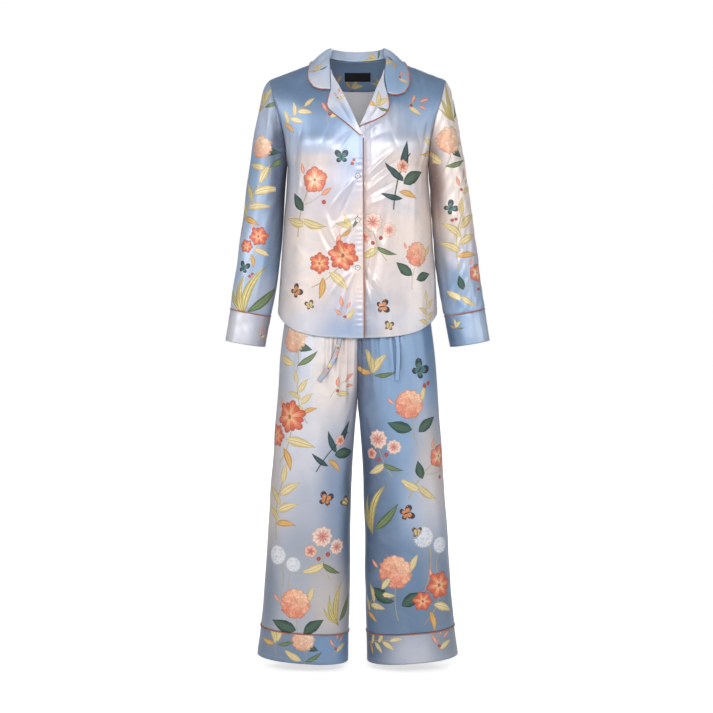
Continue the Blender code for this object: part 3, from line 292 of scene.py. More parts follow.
def body_line(face, side, region, share, start, samples=200):
    """One row of the body from x = start out to the armhole or side seam."""
    if region == "upper":
        width, depth = upper_width(face, share), upper_depth(face, share)
        angle = np.linspace(angle_of(start / width), angle_of(armhole_x(share) / width), samples)
        x, y = section(face, width, depth, angle)
        return np.stack([side * x, y, upper_z(x, share)], -1)
    angle = np.linspace(angle_of(start / half_width(UNDERARM)), math.pi / 2.0, samples)
    z = UNDERARM + share * (hem_height[face](np.abs(angle) / (math.pi / 2.0)) - UNDERARM)
    x, y = section(face, half_width(z), body_depth[face](z), angle)
    return np.stack([side * x, y, z], -1)


print("the break is row", BREAK_ROW, "of", len(ROWS))

# %% [markdown]
# ## The two fronts
# The fronts are cut alike, but the wearer's left one lies a few millimetres under the right one
# (`underlap`), and each starts at its own roll line above the break.  They are two sheets and not one
# with a line drawn on it, so that the piped edge casts a real shadow.
# %% The fronts


def underlap(side, x, z):
    depth, width, top, full = UNDERLAP
    if side < 0:
        return 0.0 * x
    return depth * ease((width - x) / (width - FRONT_EDGE)) * ease((top - z) / (top - full))


def torso_centre(grid):
    """Points on the body's middle line, 50 mm below the grid's own, so that shoulders face upwards."""
    return grid * (0.0, 0.0, 1.0) - (0.0, 0.0, 0.05)


def front_form(side):
    grid = []
    for region, share in ROWS:
        start = roll_x[side](share) if region == "upper" and share > BREAK_SHARE else -FRONT_EDGE
        grid.append(resample(body_line("front", side, region, share, start), steps(FRONT_COLUMNS)))
    grid = np.array(grid)
    grid[..., 1] += underlap(side, side * grid[..., 0], grid[..., 2])
    return grid, grid_normals(grid, False, torso_centre(grid))


print("a front has", front_form(1)[0].shape[:2], "points")

# %% [markdown]
# ## The back
# The back is one sheet from armhole to armhole, with its top edge hollowed for the neck.  Near the
# neck its columns follow the hollow, and lower down they spread evenly; `blend` passes from one to
# the other, which keeps the grid's squares from shearing.
# %% The back
NECK_HOLLOW, EVEN_BELOW, SEAM_SHARE = 0.003, 0.4, 1.0 - 1e-6      # the last is just short of the seam


def back_neck_share(reach):
    x = NECK[0] * reach
    return np.where(reach >= 1.0, 1.0, upper_share(x, (NECK[1] + NECK_HOLLOW) * reach ** 2 - NECK_HOLLOW))


def back_form():
    neck, whole = (float(angle_of(x / upper_width("back", SEAM_SHARE))) for x in (NECK[0], armhole_x(1.0)))
    neck /= whole
    half = np.concatenate([neck * steps(NECK_COLUMNS), np.linspace(neck, 1.0, SIDE_COLUMNS + 1)[1:]])
    grid = []
    for region, share in ROWS:
        halves = []
        for side in (-1, 1):
            if region == "lower":
                points = resample(body_line("back", side, region, share, 0.0), half)
            else:
                shares = share * back_neck_share(half / neck)
                width, depth = upper_width("back", shares), upper_depth("back", shares)
                x, y = section("back", width, depth, half * angle_of(armhole_x(shares) / width))
                points = np.stack([side * x, y, upper_z(x, shares)], -1)
                blend = ease(share / EVEN_BELOW)
                if blend < 1.0:
                    even = np.array([resample(body_line("back", side, region, own, 0.0), [place])[0]
                                     for own, place in zip(shares, half)])
                    points = points * blend + even * (1.0 - blend)
            halves.append(points)
        grid.append(np.vstack([halves[0][:0:-1], halves[1]]))
    grid = np.array(grid)
    return grid, grid_normals(grid, False, torso_centre(grid))


print("the neck's hollow reaches down to share", round(float(back_neck_share(0.0)), 3))

# %% [markdown]
# ## Where the body's surface lies
# Collar, lapels and buttons rest on the body, so they must know where it is.  `torso_field` is a sum
# that is negative inside the upper body and zero on it, and its slope points straight out of the
# cloth.  `front_point` and `front_normal` answer the same question for one place on a front.
# %% The body's surface


def torso_field(place):
    """Below zero inside the upper body's form, zero on it."""
    x, y, z = place[..., 0], place[..., 1], place[..., 2]
    share, result = upper_share(x, z), 0.0
    for face, mask in (("front", y < SHOULDER_Y), ("back", y >= SHOULDER_Y)):
        width = upper_width(face, np.clip(share, 0.0, 1.0))
        across = np.maximum(1.0 - np.minimum(np.abs(x) / width, 0.999) ** SECTION, 1e-4) ** (1.0 / SECTION)
        deep = np.abs(y - SHOULDER_Y) / (UPPER[face][0] * across)
        result = result + mask * (deep ** ROLL_OVER + np.maximum(share, 0.0) ** UPPER[face][1] - 1.0)
    return result


def torso_slope(place, step=1e-4):
    return np.stack([(torso_field(place + axis) - torso_field(place - axis)) / (2.0 * step)
                     for axis in np.eye(3) * step], -1)


def front_point(side, x, z):
    x, z = np.asarray(x, float), np.asarray(z, float)
    share = np.clip(upper_share(x, z), 0.0, 1.0)
    low = z < UNDERARM
    width = np.where(low, half_width(z), upper_width("front", share))
    depth = np.where(low, body_depth["front"](z), upper_depth("front", share))
    y = depth * (1.0 - np.minimum(np.abs(x) / width, 0.9999) ** SECTION) ** (1.0 / SECTION)
    return np.stack([side * x, SHOULDER_Y - y + underlap(side, x, z), z + 0.0 * x], -1)


def front_normal(side, x, z, step=0.0005):
    across = front_point(side, x + step, z) - front_point(side, x - step, z)
    normal = unit(np.cross(across, front_point(side, x, z - step) - front_point(side, x, z + step)))
    return np.where(normal[..., 1:2] < 0.0, normal, -normal)


print("first button faces", front_normal(-1, 0.0, -0.2715).round(2))

# %% [markdown]
# ## Sleeves and cuffs
# A sleeve is a tube of rings.  One could be swept along a bone, but its two edges hang differently:
# the outer line falls nearly straight and the inner one starts at the underarm.  Each ring is so laid
# between an outer and an inner point from the table, and the first ones are eased on to the armhole.
# %% Sleeves and cuffs
SLEEVE_POWER, ARMHOLE_EASE, SLEEVE_ROWS, CUFF_ROWS = 2.15, 0.2, 170, 20
ALONG = (0.0, 0.05, 0.13, 0.24, 0.36, 0.5, 0.63, 0.76, 0.87, 1.0)
sleeve_line = smooth(ALONG, np.array((
    (0.2038, 0.214, 0.225, 0.237, 0.2485, 0.26, 0.27, 0.2795, 0.287, 0.293),  # outer x
    (-0.05, -0.068, -0.115, -0.176, -0.245, -0.33, -0.405, -0.475, -0.53, -0.572),  # outer z
    (0.1614, 0.1624, 0.1637, 0.1656, 0.1679, 0.1717, 0.176, 0.1824, 0.1915, 0.1998),  # inner x
    (-0.248, -0.25, -0.26, -0.285, -0.325, -0.38, -0.438, -0.496, -0.55, -0.589),  # inner z
    (0.06, 0.061, 0.062, 0.061, 0.058, 0.054, 0.0505, 0.048, 0.0455, 0.043),  # front
    (0.066, 0.066, 0.065, 0.062, 0.059, 0.056, 0.053, 0.05, 0.047, 0.044),  # back
    (0.004, 0.004, 0.004, 0.004, 0.004, 0.002, 0.0, -0.004, -0.008, -0.012))).T)  # middle's y
CUFF_END = np.array((0.3046, -0.645, 0.2128, -0.66, 0.0425, 0.0435, -0.016))
RING = circle(152)


def ring(side, values):
    across, through = spow(np.cos(RING), 2.0 / SLEEVE_POWER), spow(np.sin(RING), 2.0 / SLEEVE_POWER)
    ox, oz, ix, iz, front, back, y = values
    return np.stack([side * ((ox + ix) / 2.0 + across * (ox - ix) / 2.0),
                     y - through * np.where(through > 0.0, front, back),
                     (oz + iz) / 2.0 + across * (oz - iz) / 2.0], -1)


def armhole_points(side):
    share = (1.0 + np.cos(RING)) / 2.0
    x = armhole_x(share)
    y = np.where(RING <= math.pi, -upper_depth("front", share) * armhole_share("front", share),
                 upper_depth("back", share) * armhole_share("back", share))
    return np.stack([side * x, SHOULDER_Y + y, upper_z(x, share)], -1)


def sleeve_form(side):
    first = armhole_points(side) - ring(side, sleeve_line(0.0))
    grid, normals = tube([ring(side, sleeve_line(along)) + first * (1.0 - ease(along / ARMHOLE_EASE))
                          for along in steps(SLEEVE_ROWS)])
    under = ((1.0 - np.cos(RING)) / 2.0)[:, None]
    normals[0] = unit(unit(torso_slope(armhole_points(side))) * (1.0 - under) + normals[0] * under)
    return grid, normals


def cuff_form(side):
    return tube([ring(side, sleeve_line(1.0) * (1.0 - share) + CUFF_END * share)
                 for share in steps(CUFF_ROWS)])


print("cuff", round(2 * float(CUFF_END[0]), 4), "m across the two")

# %% [markdown]
# ## Trousers
# Wide trousers are one tube at the waist and two at the hem.  Each quarter (a front or a back of one
# leg) is a sheet whose section changes with height: a quarter of an oval above the seat, which turns
# into half a tube below the crotch.  Above it the centre seam is closed and lies in a small groove.
# %% Trouser panels
WAIST_TOP, WAIST_SEAM, SEAT_TOP, CROTCH, LEG_POWER = -0.4285, -0.468, -0.52, -0.79, 2.3
HEM_TILT, HEM_Z, BAND_HEIGHT, PARTING_ROUND = 0.016, -1.394, 0.07, 1.5
SEAM_GAP, GROOVE_DEPTH, GROOVE_WIDTH, SEAM_HALF = 0.0003, 0.0011, 0.0028, 0.00003
LEG_Z = (-1.4, -1.299, -1.107, -0.973, -0.845, -0.734, -0.618, -0.54, WAIST_SEAM, WAIST_TOP)
leg_outer = smooth(LEG_Z, (0.2355, 0.223, 0.2091, 0.1996, 0.191, 0.182, 0.171, 0.156, 0.133, 0.13))
leg_depth = {"front": smooth(LEG_Z, (0.082, 0.082, 0.083, 0.085, 0.09, 0.095, 0.095, 0.09, 0.085, 0.085)),
             "back": smooth(LEG_Z, (0.082, 0.083, 0.086, 0.091, 0.098, 0.102, 0.099, 0.093, 0.088, 0.088))}
leg_inner = smooth((-1.4, -1.3, -1.183, -1.065, -0.938, -0.841, CROTCH),
                   (0.0222, 0.0201, 0.0186, 0.0164, 0.0118, 0.0056, 0.0004))


def leg_line(face, side, z, samples=200):
    """One leg's front or back half at one height, from the outseam to the inner seam."""
    turn = np.linspace(0.0, 1.0, samples)
    outer, depth, inner = leg_outer(z), leg_depth[face](z), max(float(leg_inner(z)), 0.00015)
    down = min(max((SEAT_TOP - z) / (SEAT_TOP - CROTCH), 0.0), 1.0)
    parted = 1.0 - (1.0 - down) ** PARTING_ROUND
    half = (outer - inner) * (1.0 - parted / 2.0)
    angle = turn * math.acos(-(parted / (2.0 - parted)) ** (LEG_POWER / 2.0))
    x = outer - half + half * spow(np.cos(angle), 2.0 / LEG_POWER)
    y = depth * np.maximum(np.sin(angle), 0.0) ** (2.0 / LEG_POWER)
    tilt = HEM_TILT * min(max((CROTCH - z) / (CROTCH - HEM_Z), 0.0), 1.0)
    return np.stack([side * np.maximum(x, inner), -y if face == "front" else y,
                     z + tilt * (x - inner) / (outer - inner)], -1)


def leg_centre(grid, side):
    z = grid[:, :1, 2]
    return np.stack([side * (leg_outer(z) + leg_inner(z)) / 2.0, 0.0 * z, z], -1)


def above_crotch(grid):
    return ease((grid[:, -1:, 2] - CROTCH) / 0.012)


def trouser_form(face, side, rows=236, columns=88):
    heights = [WAIST_SEAM - SEAM_GAP, *np.linspace(SEAT_TOP + 0.03, HEM_Z + BAND_HEIGHT, rows)]
    grid = np.array([resample(leg_line(face, side, float(z)), steps(columns)) for z in heights])
    seat = above_crotch(grid)      # one closed seam above the legs' parting
    grid[:, -1, 0] = side * (SEAM_HALF * seat[:, 0] + side * grid[:, -1, 0] * (1.0 - seat[:, 0]))
    off = np.abs(grid[..., 0] - grid[:, -1:, 0])
    groove = GROOVE_DEPTH * seat * np.exp(-(off / GROOVE_WIDTH) ** 2)
    grid[..., 1] += groove if face == "front" else -groove
    return grid, grid_normals(grid, False, leg_centre(grid, side))


print("leg opening", round(2 * float(leg_outer(HEM_Z) - leg_inner(HEM_Z)), 3), "m of cloth laid flat")

# %% [markdown]
# ## Hem bands and waistband
# The hem bands carry on the legs' own sections, as closed rings.  The waistband is an elastic casing
# that the jacket hides, so it is plain: a ring with sixty small gathers and a slight swell.
# %% Bands
GATHERS, GATHER_DEPTH, SWELL = 60.0, 0.0012, 0.0016


def band_form(side, rows=16, columns=64):
    rings = []
    for z in np.linspace(HEM_Z + BAND_HEIGHT - SEAM_GAP, HEM_Z, rows + 1):
        front, back = (resample(leg_line(face, side, float(z)), steps(columns)) for face in ("front", "back"))
        rings.append(np.vstack([front, back[-2:0:-1]]))
    return tube(rings)


def waist_form(rows=10, points=360):
    angle, rings = circle(points), []
    for share in steps(rows):
        z = WAIST_TOP + (WAIST_SEAM - WAIST_TOP) * share
        swell = SWELL * np.sin(math.pi * share) + GATHER_DEPTH * np.sin(angle * GATHERS)
        depth = np.where(np.sin(angle) < 0.0, leg_depth["front"](z), leg_depth["back"](z))
        rings.append(np.stack([(leg_outer(z) + swell) * spow(np.cos(angle), 2.0 / LEG_POWER),
                               (depth + swell) * spow(np.sin(angle), 2.0 / LEG_POWER), z + 0.0 * angle], -1))
    return tube(rings)


print("waist", round(2 * float(leg_outer(WAIST_TOP)), 3), "m across")

# %% [markdown]
# ## The collar in sizes
# The collar is one strip folded over: from the neck seam up, over the fold and down on to the
# shoulders.  It is given by stations round the neck with four points across each (seam, fold, fall
# and edge), half of them for the back and the rest for each side's own notched end, which differ a
# little, as they do on a real garment.
# %% Collar and lapel sizes
COLLAR_BACK = (
    ((0.0, None), (0.0, 0.065, 0.0215), (0.0, 0.08, 0.002), (0.0, 0.086, -0.023)),
    ((0.033, None), (0.031, 0.058, 0.0222), (0.041, 0.074, 0.004), (0.049, 0.081, -0.0225)),
    ((0.056, None), (0.0525, 0.037, 0.0238), (0.069, 0.048, 0.011), (0.087, 0.056, -0.017)),
    ((0.065, None), (0.0597, 0.008, 0.0238), (0.078, 0.006, 0.016), (0.1025, 0.004, -0.0085)))
COLLAR_ENDS = {
    -1: (((0.0622, -0.002), (0.061, -0.012, 0.011), (0.083, -0.018, 0.0045), (0.1075, -0.03, -0.021)),
         ((0.0626, -0.011), (0.069, -0.033, -0.007), (0.087, -0.04, -0.017), (0.1105, -0.046, -0.038)),
         ((0.0614, -0.045), (0.07, -0.061, -0.045), (0.087, -0.06, -0.048), (0.1075, -0.058, -0.059)),
         ((0.0606, -0.0785), (0.07, -0.08, -0.079), (0.083, -0.076, -0.0785), (0.097, -0.07, -0.0735))),
    1: (((0.0622, -0.002), (0.0615, -0.012, 0.011), (0.084, -0.018, 0.004), (0.109, -0.03, -0.0225)),
        ((0.063, -0.011), (0.07, -0.033, -0.008), (0.089, -0.04, -0.019), (0.114, -0.047, -0.045)),
        ((0.0606, -0.05), (0.071, -0.062, -0.052), (0.091, -0.064, -0.056), (0.113, -0.064, -0.07)),
        ((0.0669, -0.0868), (0.077, -0.085, -0.0905), (0.089, -0.08, -0.0915), (0.1035, -0.074, -0.0865)))}
GORGES = {-1: ((-0.035, -0.056, -0.0785), (0.0606, 0.0596, 0.0597)),
          1: ((-0.035, -0.06, -0.0868), (0.06, 0.0587, 0.0656))}
LAPEL_EDGES = {-1: ((-0.0785, -0.105, -0.1175, -0.13, -0.155, -0.181),
                    (0.0597, 0.0664, 0.066, 0.0545, 0.0228, -0.007)),
               1: ((-0.0868, -0.105, -0.118, -0.1325, -0.146, -0.16, -0.18),
                   (0.0656, 0.069, 0.069, 0.0612, 0.0392, 0.006, -0.0075))}
COLLAR_LIFT, CLOTH, LAPEL_ROLL, LAPEL_LIFT = 0.0046, 0.0012, (0.001, 0.0003), (0.003, 0.0029)
print(len(COLLAR_BACK + COLLAR_ENDS[1]), "stations on each half of the collar")

# %% [markdown]
# ## The collar's form
# A smooth surface is drawn through the stations.  Where it would touch the body it is pushed out
# along the body's slope (`clear_of_torso`), which is safer than guessing every height, and then it is
# smoothed a little by averaging neighbours.
# %% Collar form
CLEARING, SMOOTHING, FREE_FALL, STAND_STATIONS = 6, 4, 0.4, 4.4      # rounds, share and stations


def neck_seam(x, z):
    if z is not None:
        return front_point(1, x, z)
    share = back_neck_share(x / NECK[0])
    y = upper_depth("back", share) * (1.0 - (x / upper_width("back", share)) ** SECTION) ** (1.0 / SECTION)
    return np.array([x, SHOULDER_Y + float(y) - 0.001, float(upper_z(x, share)) + 0.001])


def clear_of_torso(points, clearance):
    points = points.copy()
    for _ in range(CLEARING):
        slope = torso_slope(points)
        distance = torso_field(points) / np.linalg.norm(slope, axis=-1)
        points += unit(slope) * np.maximum(clearance - distance, 0.0)[..., None]
    return points


def collar_form(places=156, across=30):
    lines = []
    for column in range(4):
        halves = {side: [(side, 1.0, 1.0) * np.array(station[column] if column else neck_seam(*station[0]))
                         for station in COLLAR_BACK + COLLAR_ENDS[side]] for side in SIDES}
        lines.append(np.array(halves[-1][:0:-1] + halves[1]))
    count = len(lines[0])
    curves = [smooth(np.arange(count), line) for line in lines]
    middle, grid = (count - 1) / 2.0, []
    for place in np.linspace(0.0, count - 1, places + 1):
        row = smooth((0.0, 0.34, 0.66, 1.0), [curve(place) for curve in curves])(steps(across))
        first = 0 if abs(place - middle) > STAND_STATIONS else int(FREE_FALL * across)
        row[first:] = clear_of_torso(row[first:], COLLAR_LIFT)
        grid.append(row)
    grid = np.array(grid)
    for _ in range(SMOOTHING):
        grid[1:-1, 1:-1] = grid[1:-1, 1:-1] * 0.5 + (grid[:-2, 1:-1] + grid[2:, 1:-1]
                                                     + grid[1:-1, :-2] + grid[1:-1, 2:]) * 0.125
    normals = grid_normals(grid, False, grid)
    return grid, (-normals if normals[places // 2, -1, 1] < 0.0 else normals)


print("the collar lies", COLLAR_LIFT, "m off the body")

# %% [markdown]
# ## The lapels
# A lapel is the front's own facing turned out: it leaves the roll line, turns round a small radius
# and lies on the front as far as its curved edge.  Bending the front itself would tear its grid at
# the break, so each lapel is a sheet of its own that starts behind the roll line.
# %% Lapel form
LAPEL_TOP, GORGE_PART, TURN = 0.85, 0.3, np.radians(np.linspace(16.0, 150.0, 10))


def surface_of(grid):
    """Finds the point of a grid's surface that lies behind a point."""
    rows, columns = grid.shape[:2]
    a = (np.arange(rows - 1)[:, None] * columns + np.arange(columns - 1)).ravel()
    faces = np.stack([a, a + 1, a + columns + 1, a + columns], -1).tolist()
    tree = BVHTree.FromPolygons([tuple(point) for point in grid.reshape(-1, 3)], faces)

    def behind(point):
        place = tree.ray_cast((point[0], -1.0, point[2]), (0.0, 1.0, 0.0))[0]
        return np.array(point) if place is None else np.array(place)

    return behind


def lapel_form(side, front, across=30):
    """Round the roll and out over the front to the piped edge, rows from the neck to the break."""
    first = int(np.argmin(np.abs(SHARES - LAPEL_TOP)))
    roll = front[first:BREAK_ROW, 0]
    gorge_rows = max(2, int(len(roll) * GORGE_PART))

    def line(tables, count):
        points = smooth(np.arange(len(tables[0])), np.stack([tables[1], tables[0]], -1))
        return resample(points(np.linspace(0, len(tables[0]) - 1, 90)), steps(count - 1))

    ends = np.vstack([line(GORGES[side], gorge_rows),
                      line(LAPEL_EDGES[side], len(roll) - gorge_rows + 1)[1:]])
    on_front, grid, normals = surface_of(front), [], []
    for row, (start, end) in enumerate(zip(roll, ends)):
        down = row / (len(roll) - 1)
        along = unit(roll[min(row + 1, len(roll) - 1)] - roll[max(row - 1, 0)])
        into = np.array([along[2], 0.0, -along[0]])
        into *= -1.0 if side * into[0] > 0.0 else 1.0
        inner = LAPEL_ROLL[0] + (LAPEL_ROLL[1] - LAPEL_ROLL[0]) * down
        outer, normal = inner + CLOTH, front_normal(side, side * start[0], start[2])
        points = [start + into * outer * math.sin(a) + normal * (inner - outer * math.cos(a)) for a in TURN]
        out = [unit(into * math.sin(a) - normal * math.cos(a)) for a in TURN]
        edge = LAPEL_LIFT[0] + (LAPEL_LIFT[1] - LAPEL_LIFT[0]) * down
        for share in steps(across):
            x = side * start[0] * (1.0 - share) + end[0] * share
            z = start[2] * (1.0 - share) + end[1] * share
            normal = front_normal(side, x, z)
            lift = (inner + outer) * (1.0 - ease(share)) + edge * ease(share)
            points.append((start if share == 0.0 else on_front(front_point(side, x, z))) + normal * lift)
            out.append(normal)
        grid.append(points)
        normals.append(out)
    return np.array(grid), np.array(normals), gorge_rows


print("collar and lapel forms ready")

# %% [markdown]
# ## Where the creases are
# Satin keeps few creases, but they are what makes it look like satin: pulls at the buttons, soft
# folds in the sleeves, gathers under the waist and long folds down the legs.  Each is a ridge
# (height above 0) or a trough along a line bent through three points.  Points and width are in the frame
# units that `seen` gives.  The back has creases of its own, and its left leg mirrors the right.
# %% Crease tables
CREASES = read_table("""
front_right: 298 148 308 150 318 154 21 4.2, 350 100 352 140 352 190 15 -1,
  290 146 314 138 346 149 9 2.4, 298 168 322 164 346 174 10 -.72, 291 130 292 158 289 198 1.6 .8,
  296 128 297 156 294 202 1.8 -.7, 304 140 301 170 297 200 1.6 .9, 308 148 305 172 301 194 1.5 -.7,
  312 144 310 176 307 208 1.9 .6, 318 150 318 180 317 214 2.3 -.5, 353 132 345 146 336 158 2.2 .7,
  348 128 338 140 326 148 3 -.4, 354 179 343 190 331 208 1.94 2.07, 354 186 346 200 340 218 1.58 -1.62,
  355 217 342 219 328 228 1.76 1.39, 355 222 346 228 338 240 1.41 1.62,
  355 226 348 234 343 250 1.41 -1.62, 325 212 334 246 354 264 2.11 2.77,
  334 220 341 246 355 261 1.58 -2.31, 318 222 328 254 352 268 2.29 -1.85,
  341 236 347 252 355 259 1.32 1.62, 355 272 345 288 341 308 1.76 2.31,
  355 276 349 296 345 320 1.5 -1.85, 353 270 338 280 328 300 2.11 1.62,
  343 300 338 310 334 324 1.58 1.39, 306 208 304 262 300 320 5 .2, 316 226 315 270 316 324 4 -.25,
  326 262 325 292 326 328 3.5 .2, 294 204 293 250 290 310 4 -.2, 286 206 285 250 284 302 3 .2,
  286 176 300 182 311 198 2.1 .5, 286 236 296 244 305 260 2.1 .4, 352 300 349 316 350 332 1.76 1.16,
  287 96 300 108 322 118 7 .9;
front_left: 399 154 409 150 420 148 21 4.2, 368 100 368 140 367 190 15 -.7,
  372 151 402 138 430 148 9 2.4, 374 170 400 166 422 172 10 -.72, 366 178 378 162 396 149 1.94 3.01,
  366 184 382 168 403 158 1.58 -2.31, 366 192 382 176 403 164 1.94 2.31,
  366 198 384 186 405 178 1.94 -1.85, 366 206 382 198 399 196 2.11 1.39,
  380 212 374 250 366 286 1.94 2.53, 386 216 380 252 370 289 1.76 -2.31,
  392 212 388 252 378 292 2.8 .77, 366 224 374 232 386 249 1.58 1.62,
  366 230 372 242 380 259 1.41 -1.39, 365 275 373 290 382 306 1.76 -2.77,
  366 269 378 284 389 302 1.94 2.31, 366 284 370 300 376 318 1.58 1.62, 398 238 398 286 396 326 4 .25,
  407 238 407 286 407 326 3.2 -.2, 417 234 418 280 418 320 3.6 .2, 427 198 427 260 428 312 3.2 -.2,
  434 108 427 150 420 166 1.41 1.48, 429 116 424 146 417 168 1.58 -1.16, 431 164 429 200 430 238 2.1 .7,
  388 196 386 226 388 264 3 -.19, 364 136 371 128 382 122 2.2 1, 366 141 376 134 390 130 2.6 -.6,
  415 99 402 114 386 125 6 .9, 384 300 384 314 386 328 1.94 1.39, 434 250 434 280 433 304 1.76 1.62;
back: 292 140 322 133 350 140 9 1.8, 424 140 392 132 364 141 9 1.8, 318 150 316 220 312 320 5 1.1,
  329 140 331 214 328 328 4 -.94, 344 136 344 210 346 332 3.6 .83, 357 150 359 222 357 332 4 -.88,
  371 136 373 206 371 332 3.6 .88, 386 146 385 216 389 328 4 -.94, 401 150 402 226 405 320 5 1.1,
  299 160 299 226 296 308 3.6 -.83, 418 158 419 226 421 308 3.6 -.83, 283 118 289 152 301 192 2.2 1,
  288 116 296 150 310 184 2.4 -.8, 433 118 428 152 415 192 2.2 1, 428 116 420 150 405 184 2.4 -.8,
  284 168 306 182 326 208 2.8 .9, 431 170 410 184 392 208 2.8 .9, 286 240 304 262 314 292 3 .9,
  430 236 411 260 402 290 3 .8, 340 100 357 106 375 100 5 .9, 334 232 350 250 368 256 3 .7,
  380 266 366 282 350 290 3 -.7;
sleeve_right: 272 110 274 140 278 190 3 -1.08, 268 106 269 138 271 172 3 .6,
  280 140 281 180 280 228 2.2 .54, 262 94 258 124 254 152 4 .54, 256 160 254 190 248 228 4 -.48,
  264 194 262 226 258 262 4 .54, 274 216 270 250 266 292 2.6 -.72, 246 230 243 262 238 298 3.5 .54,
  252 248 250 276 246 306 2.6 -.42, 262 268 258 288 256 308 2.2 .48, 238 286 242 298 249 307 1.8 .3,
  268 290 264 300 262 312 1.6 -.36, 236 268 234 290 232 305 2.2 .3, 281 196 272 206 260 210 2.4 .3;
sleeve_left: 446 110 450 140 452 182 3.2 .72, 440 130 442 160 442 202 2.8 -.84,
  456 118 460 150 464 182 3.6 -.42, 436 188 437 214 440 242 2.2 -.84, 443 194 446 224 447 254 2.6 .6,
  456 194 460 226 462 258 3.4 .48, 464 204 468 236 470 270 3.2 -.42, 446 248 450 278 452 308 2.4 .66,
  454 254 459 280 462 306 2.8 -.54, 464 256 469 282 474 304 3 .54, 441 256 445 276 447 302 1.8 -.48,
  474 260 477 284 480 302 2.2 -.36, 447 288 454 298 463 305 1.8 .42, 436 204 446 212 456 216 2.4 .3;
cuff_right: 238 316 236 328 234 341 2.4 .25, 252 318 250 330 250 343 3 -.25,
  264 318 262 330 260 343 2.2 .25;
cuff_left: 449 317 458 330 467 343 3 .45, 458 316 470 326 481 339 3 -.3, 470 314 474 324 479 335 2.6 .3;
trouser_front_right: 331 316 331 350 329 392 1.84 2.46, 335 316 335 348 333 382 1.75 -2.22,
  339 316 339 352 337 398 1.75 2.46, 343 316 343 350 341 394 1.75 -2.46,
  346.5 316 346.5 356 345 410 1.75 2.46, 350 316 350 350 349 398 1.75 -2.22,
  353.5 316 353.5 352 353 394 1.75 2.22, 324 317 323 352 320 398 2.53 1.39,
  327.5 316 327 350 325 388 1.75 -1.97, 316 318 314 350 310 394 2.99 -1.22,
  307 320 304 352 300 394 3.45 1.22, 297 322 294 352 290 394 3.45 -1.04, 352 396 346 420 340 448 2.2 .7,
  355 404 348 424 340 442 2 -.6, 348 388 340 410 330 434 2.6 .6, 316 408 314 500 312 614 9 1.43,
  300 418 296 500 290 614 8 -1.21, 334 438 335 520 338 614 7 -1.21, 345 448 346 530 348 622 4 .83,
  284 428 279 520 272 618 6 .88, 349 564 342 584 333 600 3 -.9, 330 468 326 500 320 532 5 .5,
  290 538 296 570 306 598 5 .7, 270 558 280 590 296 612 4 .6;
trouser_front_left: 360 316 360 350 360 390 1.75 -2.46, 363.5 316 364 352 365 402 1.75 2.46,
  367 316 368 350 370 394 1.75 -2.46, 371 316 372.5 352 376 402 1.75 2.46,
  375 316 376.5 350 380 392 1.75 -2.46, 379.5 316 381 352 385 400 1.95 2.46,
  384 316 386 350 390 388 1.75 -2.22, 389 316 391 352 396 394 2.07 2.22,
  395 317 397 350 403 390 2.07 -1.97, 402 318 405 352 412 394 2.76 1.22,
  411 320 414 352 420 390 2.99 -1.22, 421 322 424 352 430 386 2.99 1.04, 362 400 370 424 380 450 2.2 .7,
  361 408 368 430 376 454 2 -.6, 372 390 384 412 398 432 2.6 .5, 400 408 404 500 406 614 9 1.43,
  416 418 424 500 430 614 8 -1.21, 382 438 382 520 381 614 7 -1.21, 370 448 369 530 367 622 4 .83,
  433 428 440 520 447 618 6 .88, 388 472 404 458 425 434 5 .9, 397 482 412 474 429 461 4 -.7,
  395 558 414 566 433 555 5 .7, 403 590 424 590 439 573 4 .6, 374 518 380 556 390 586 5 .44;
trouser_back_right: 306 317 304 350 300 396 2.4 1.08, 314 316 313 350 311 390 2 -1.08,
  322 316 322 352 320 404 2 1.2, 330 316 330 350 329 392 1.6 -1.53, 337 316 337 352 336 402 1.8 1.7,
  345 316 345 350 344 390 1.6 -1.53, 351 316 351 350 351 386 1.4 1.36, 352 394 336 414 312 438 3.6 1.4,
  353 404 340 424 322 452 3 -1.1, 318 430 314 520 312 620 9 1.54, 334 440 334 530 336 622 6 -1.21,
  294 430 290 520 284 620 7 -1.21, 278 440 273 530 267 620 5 .83, 346 452 348 530 350 620 4 .77;
hem_band_right: 300 628 304 644 310 664 4 .9, 338 630 334 646 332 664 3 -.7;
hem_band_left: 388 632 384 648 378 666 4 .8, 430 628 434 644 440 658 3 -.7;
lapel_right: 338 86 344 102 353 120 3 -.7, 334 98 342 106 350 122 2 .6;
lapel_left: 384 88 376 106 366 121 3 -.7, 386 98 378 108 368 120 2 .6;
collar: 313 76 321 73 332 80 3 .7, 399 80 392 74 383 82 3 .7, 305 66 313 58 326 56 3 .5,
  408 68 401 60 388 56 3 .5""")
# each row: u1, v1, u2, v2, u3, v3, width, height
MIRROR = 716.5      # a right leg's u becomes this less u on the left leg
CREASES["trouser_back_left"] = [
    (MIRROR - u1, v1, MIRROR - u2, v2 + 3, MIRROR - u3, v3 - 4, width, height)
    for u1, v1, u2, v2, u3, v3, width, height in CREASES["trouser_back_right"]]
CREASE_DEPTH = {"sleeve_right": 1.6, "sleeve_left": 1.6,
                "trouser_front_right": 1.15, "trouser_front_left": 1.15}
PUCKERS = read_table("""
front_right: 360 150 360 334 3.6 5.4 .55;
front_left: 366 150 366 334 3.8 6.1 .42""")
# each row: u1, v1, u2, v2, reach, pitch, height
CREASE_SCALE, MM = 1.35e-3, 1e-3
print(sum(len(rows) for rows in CREASES.values()), "creases")

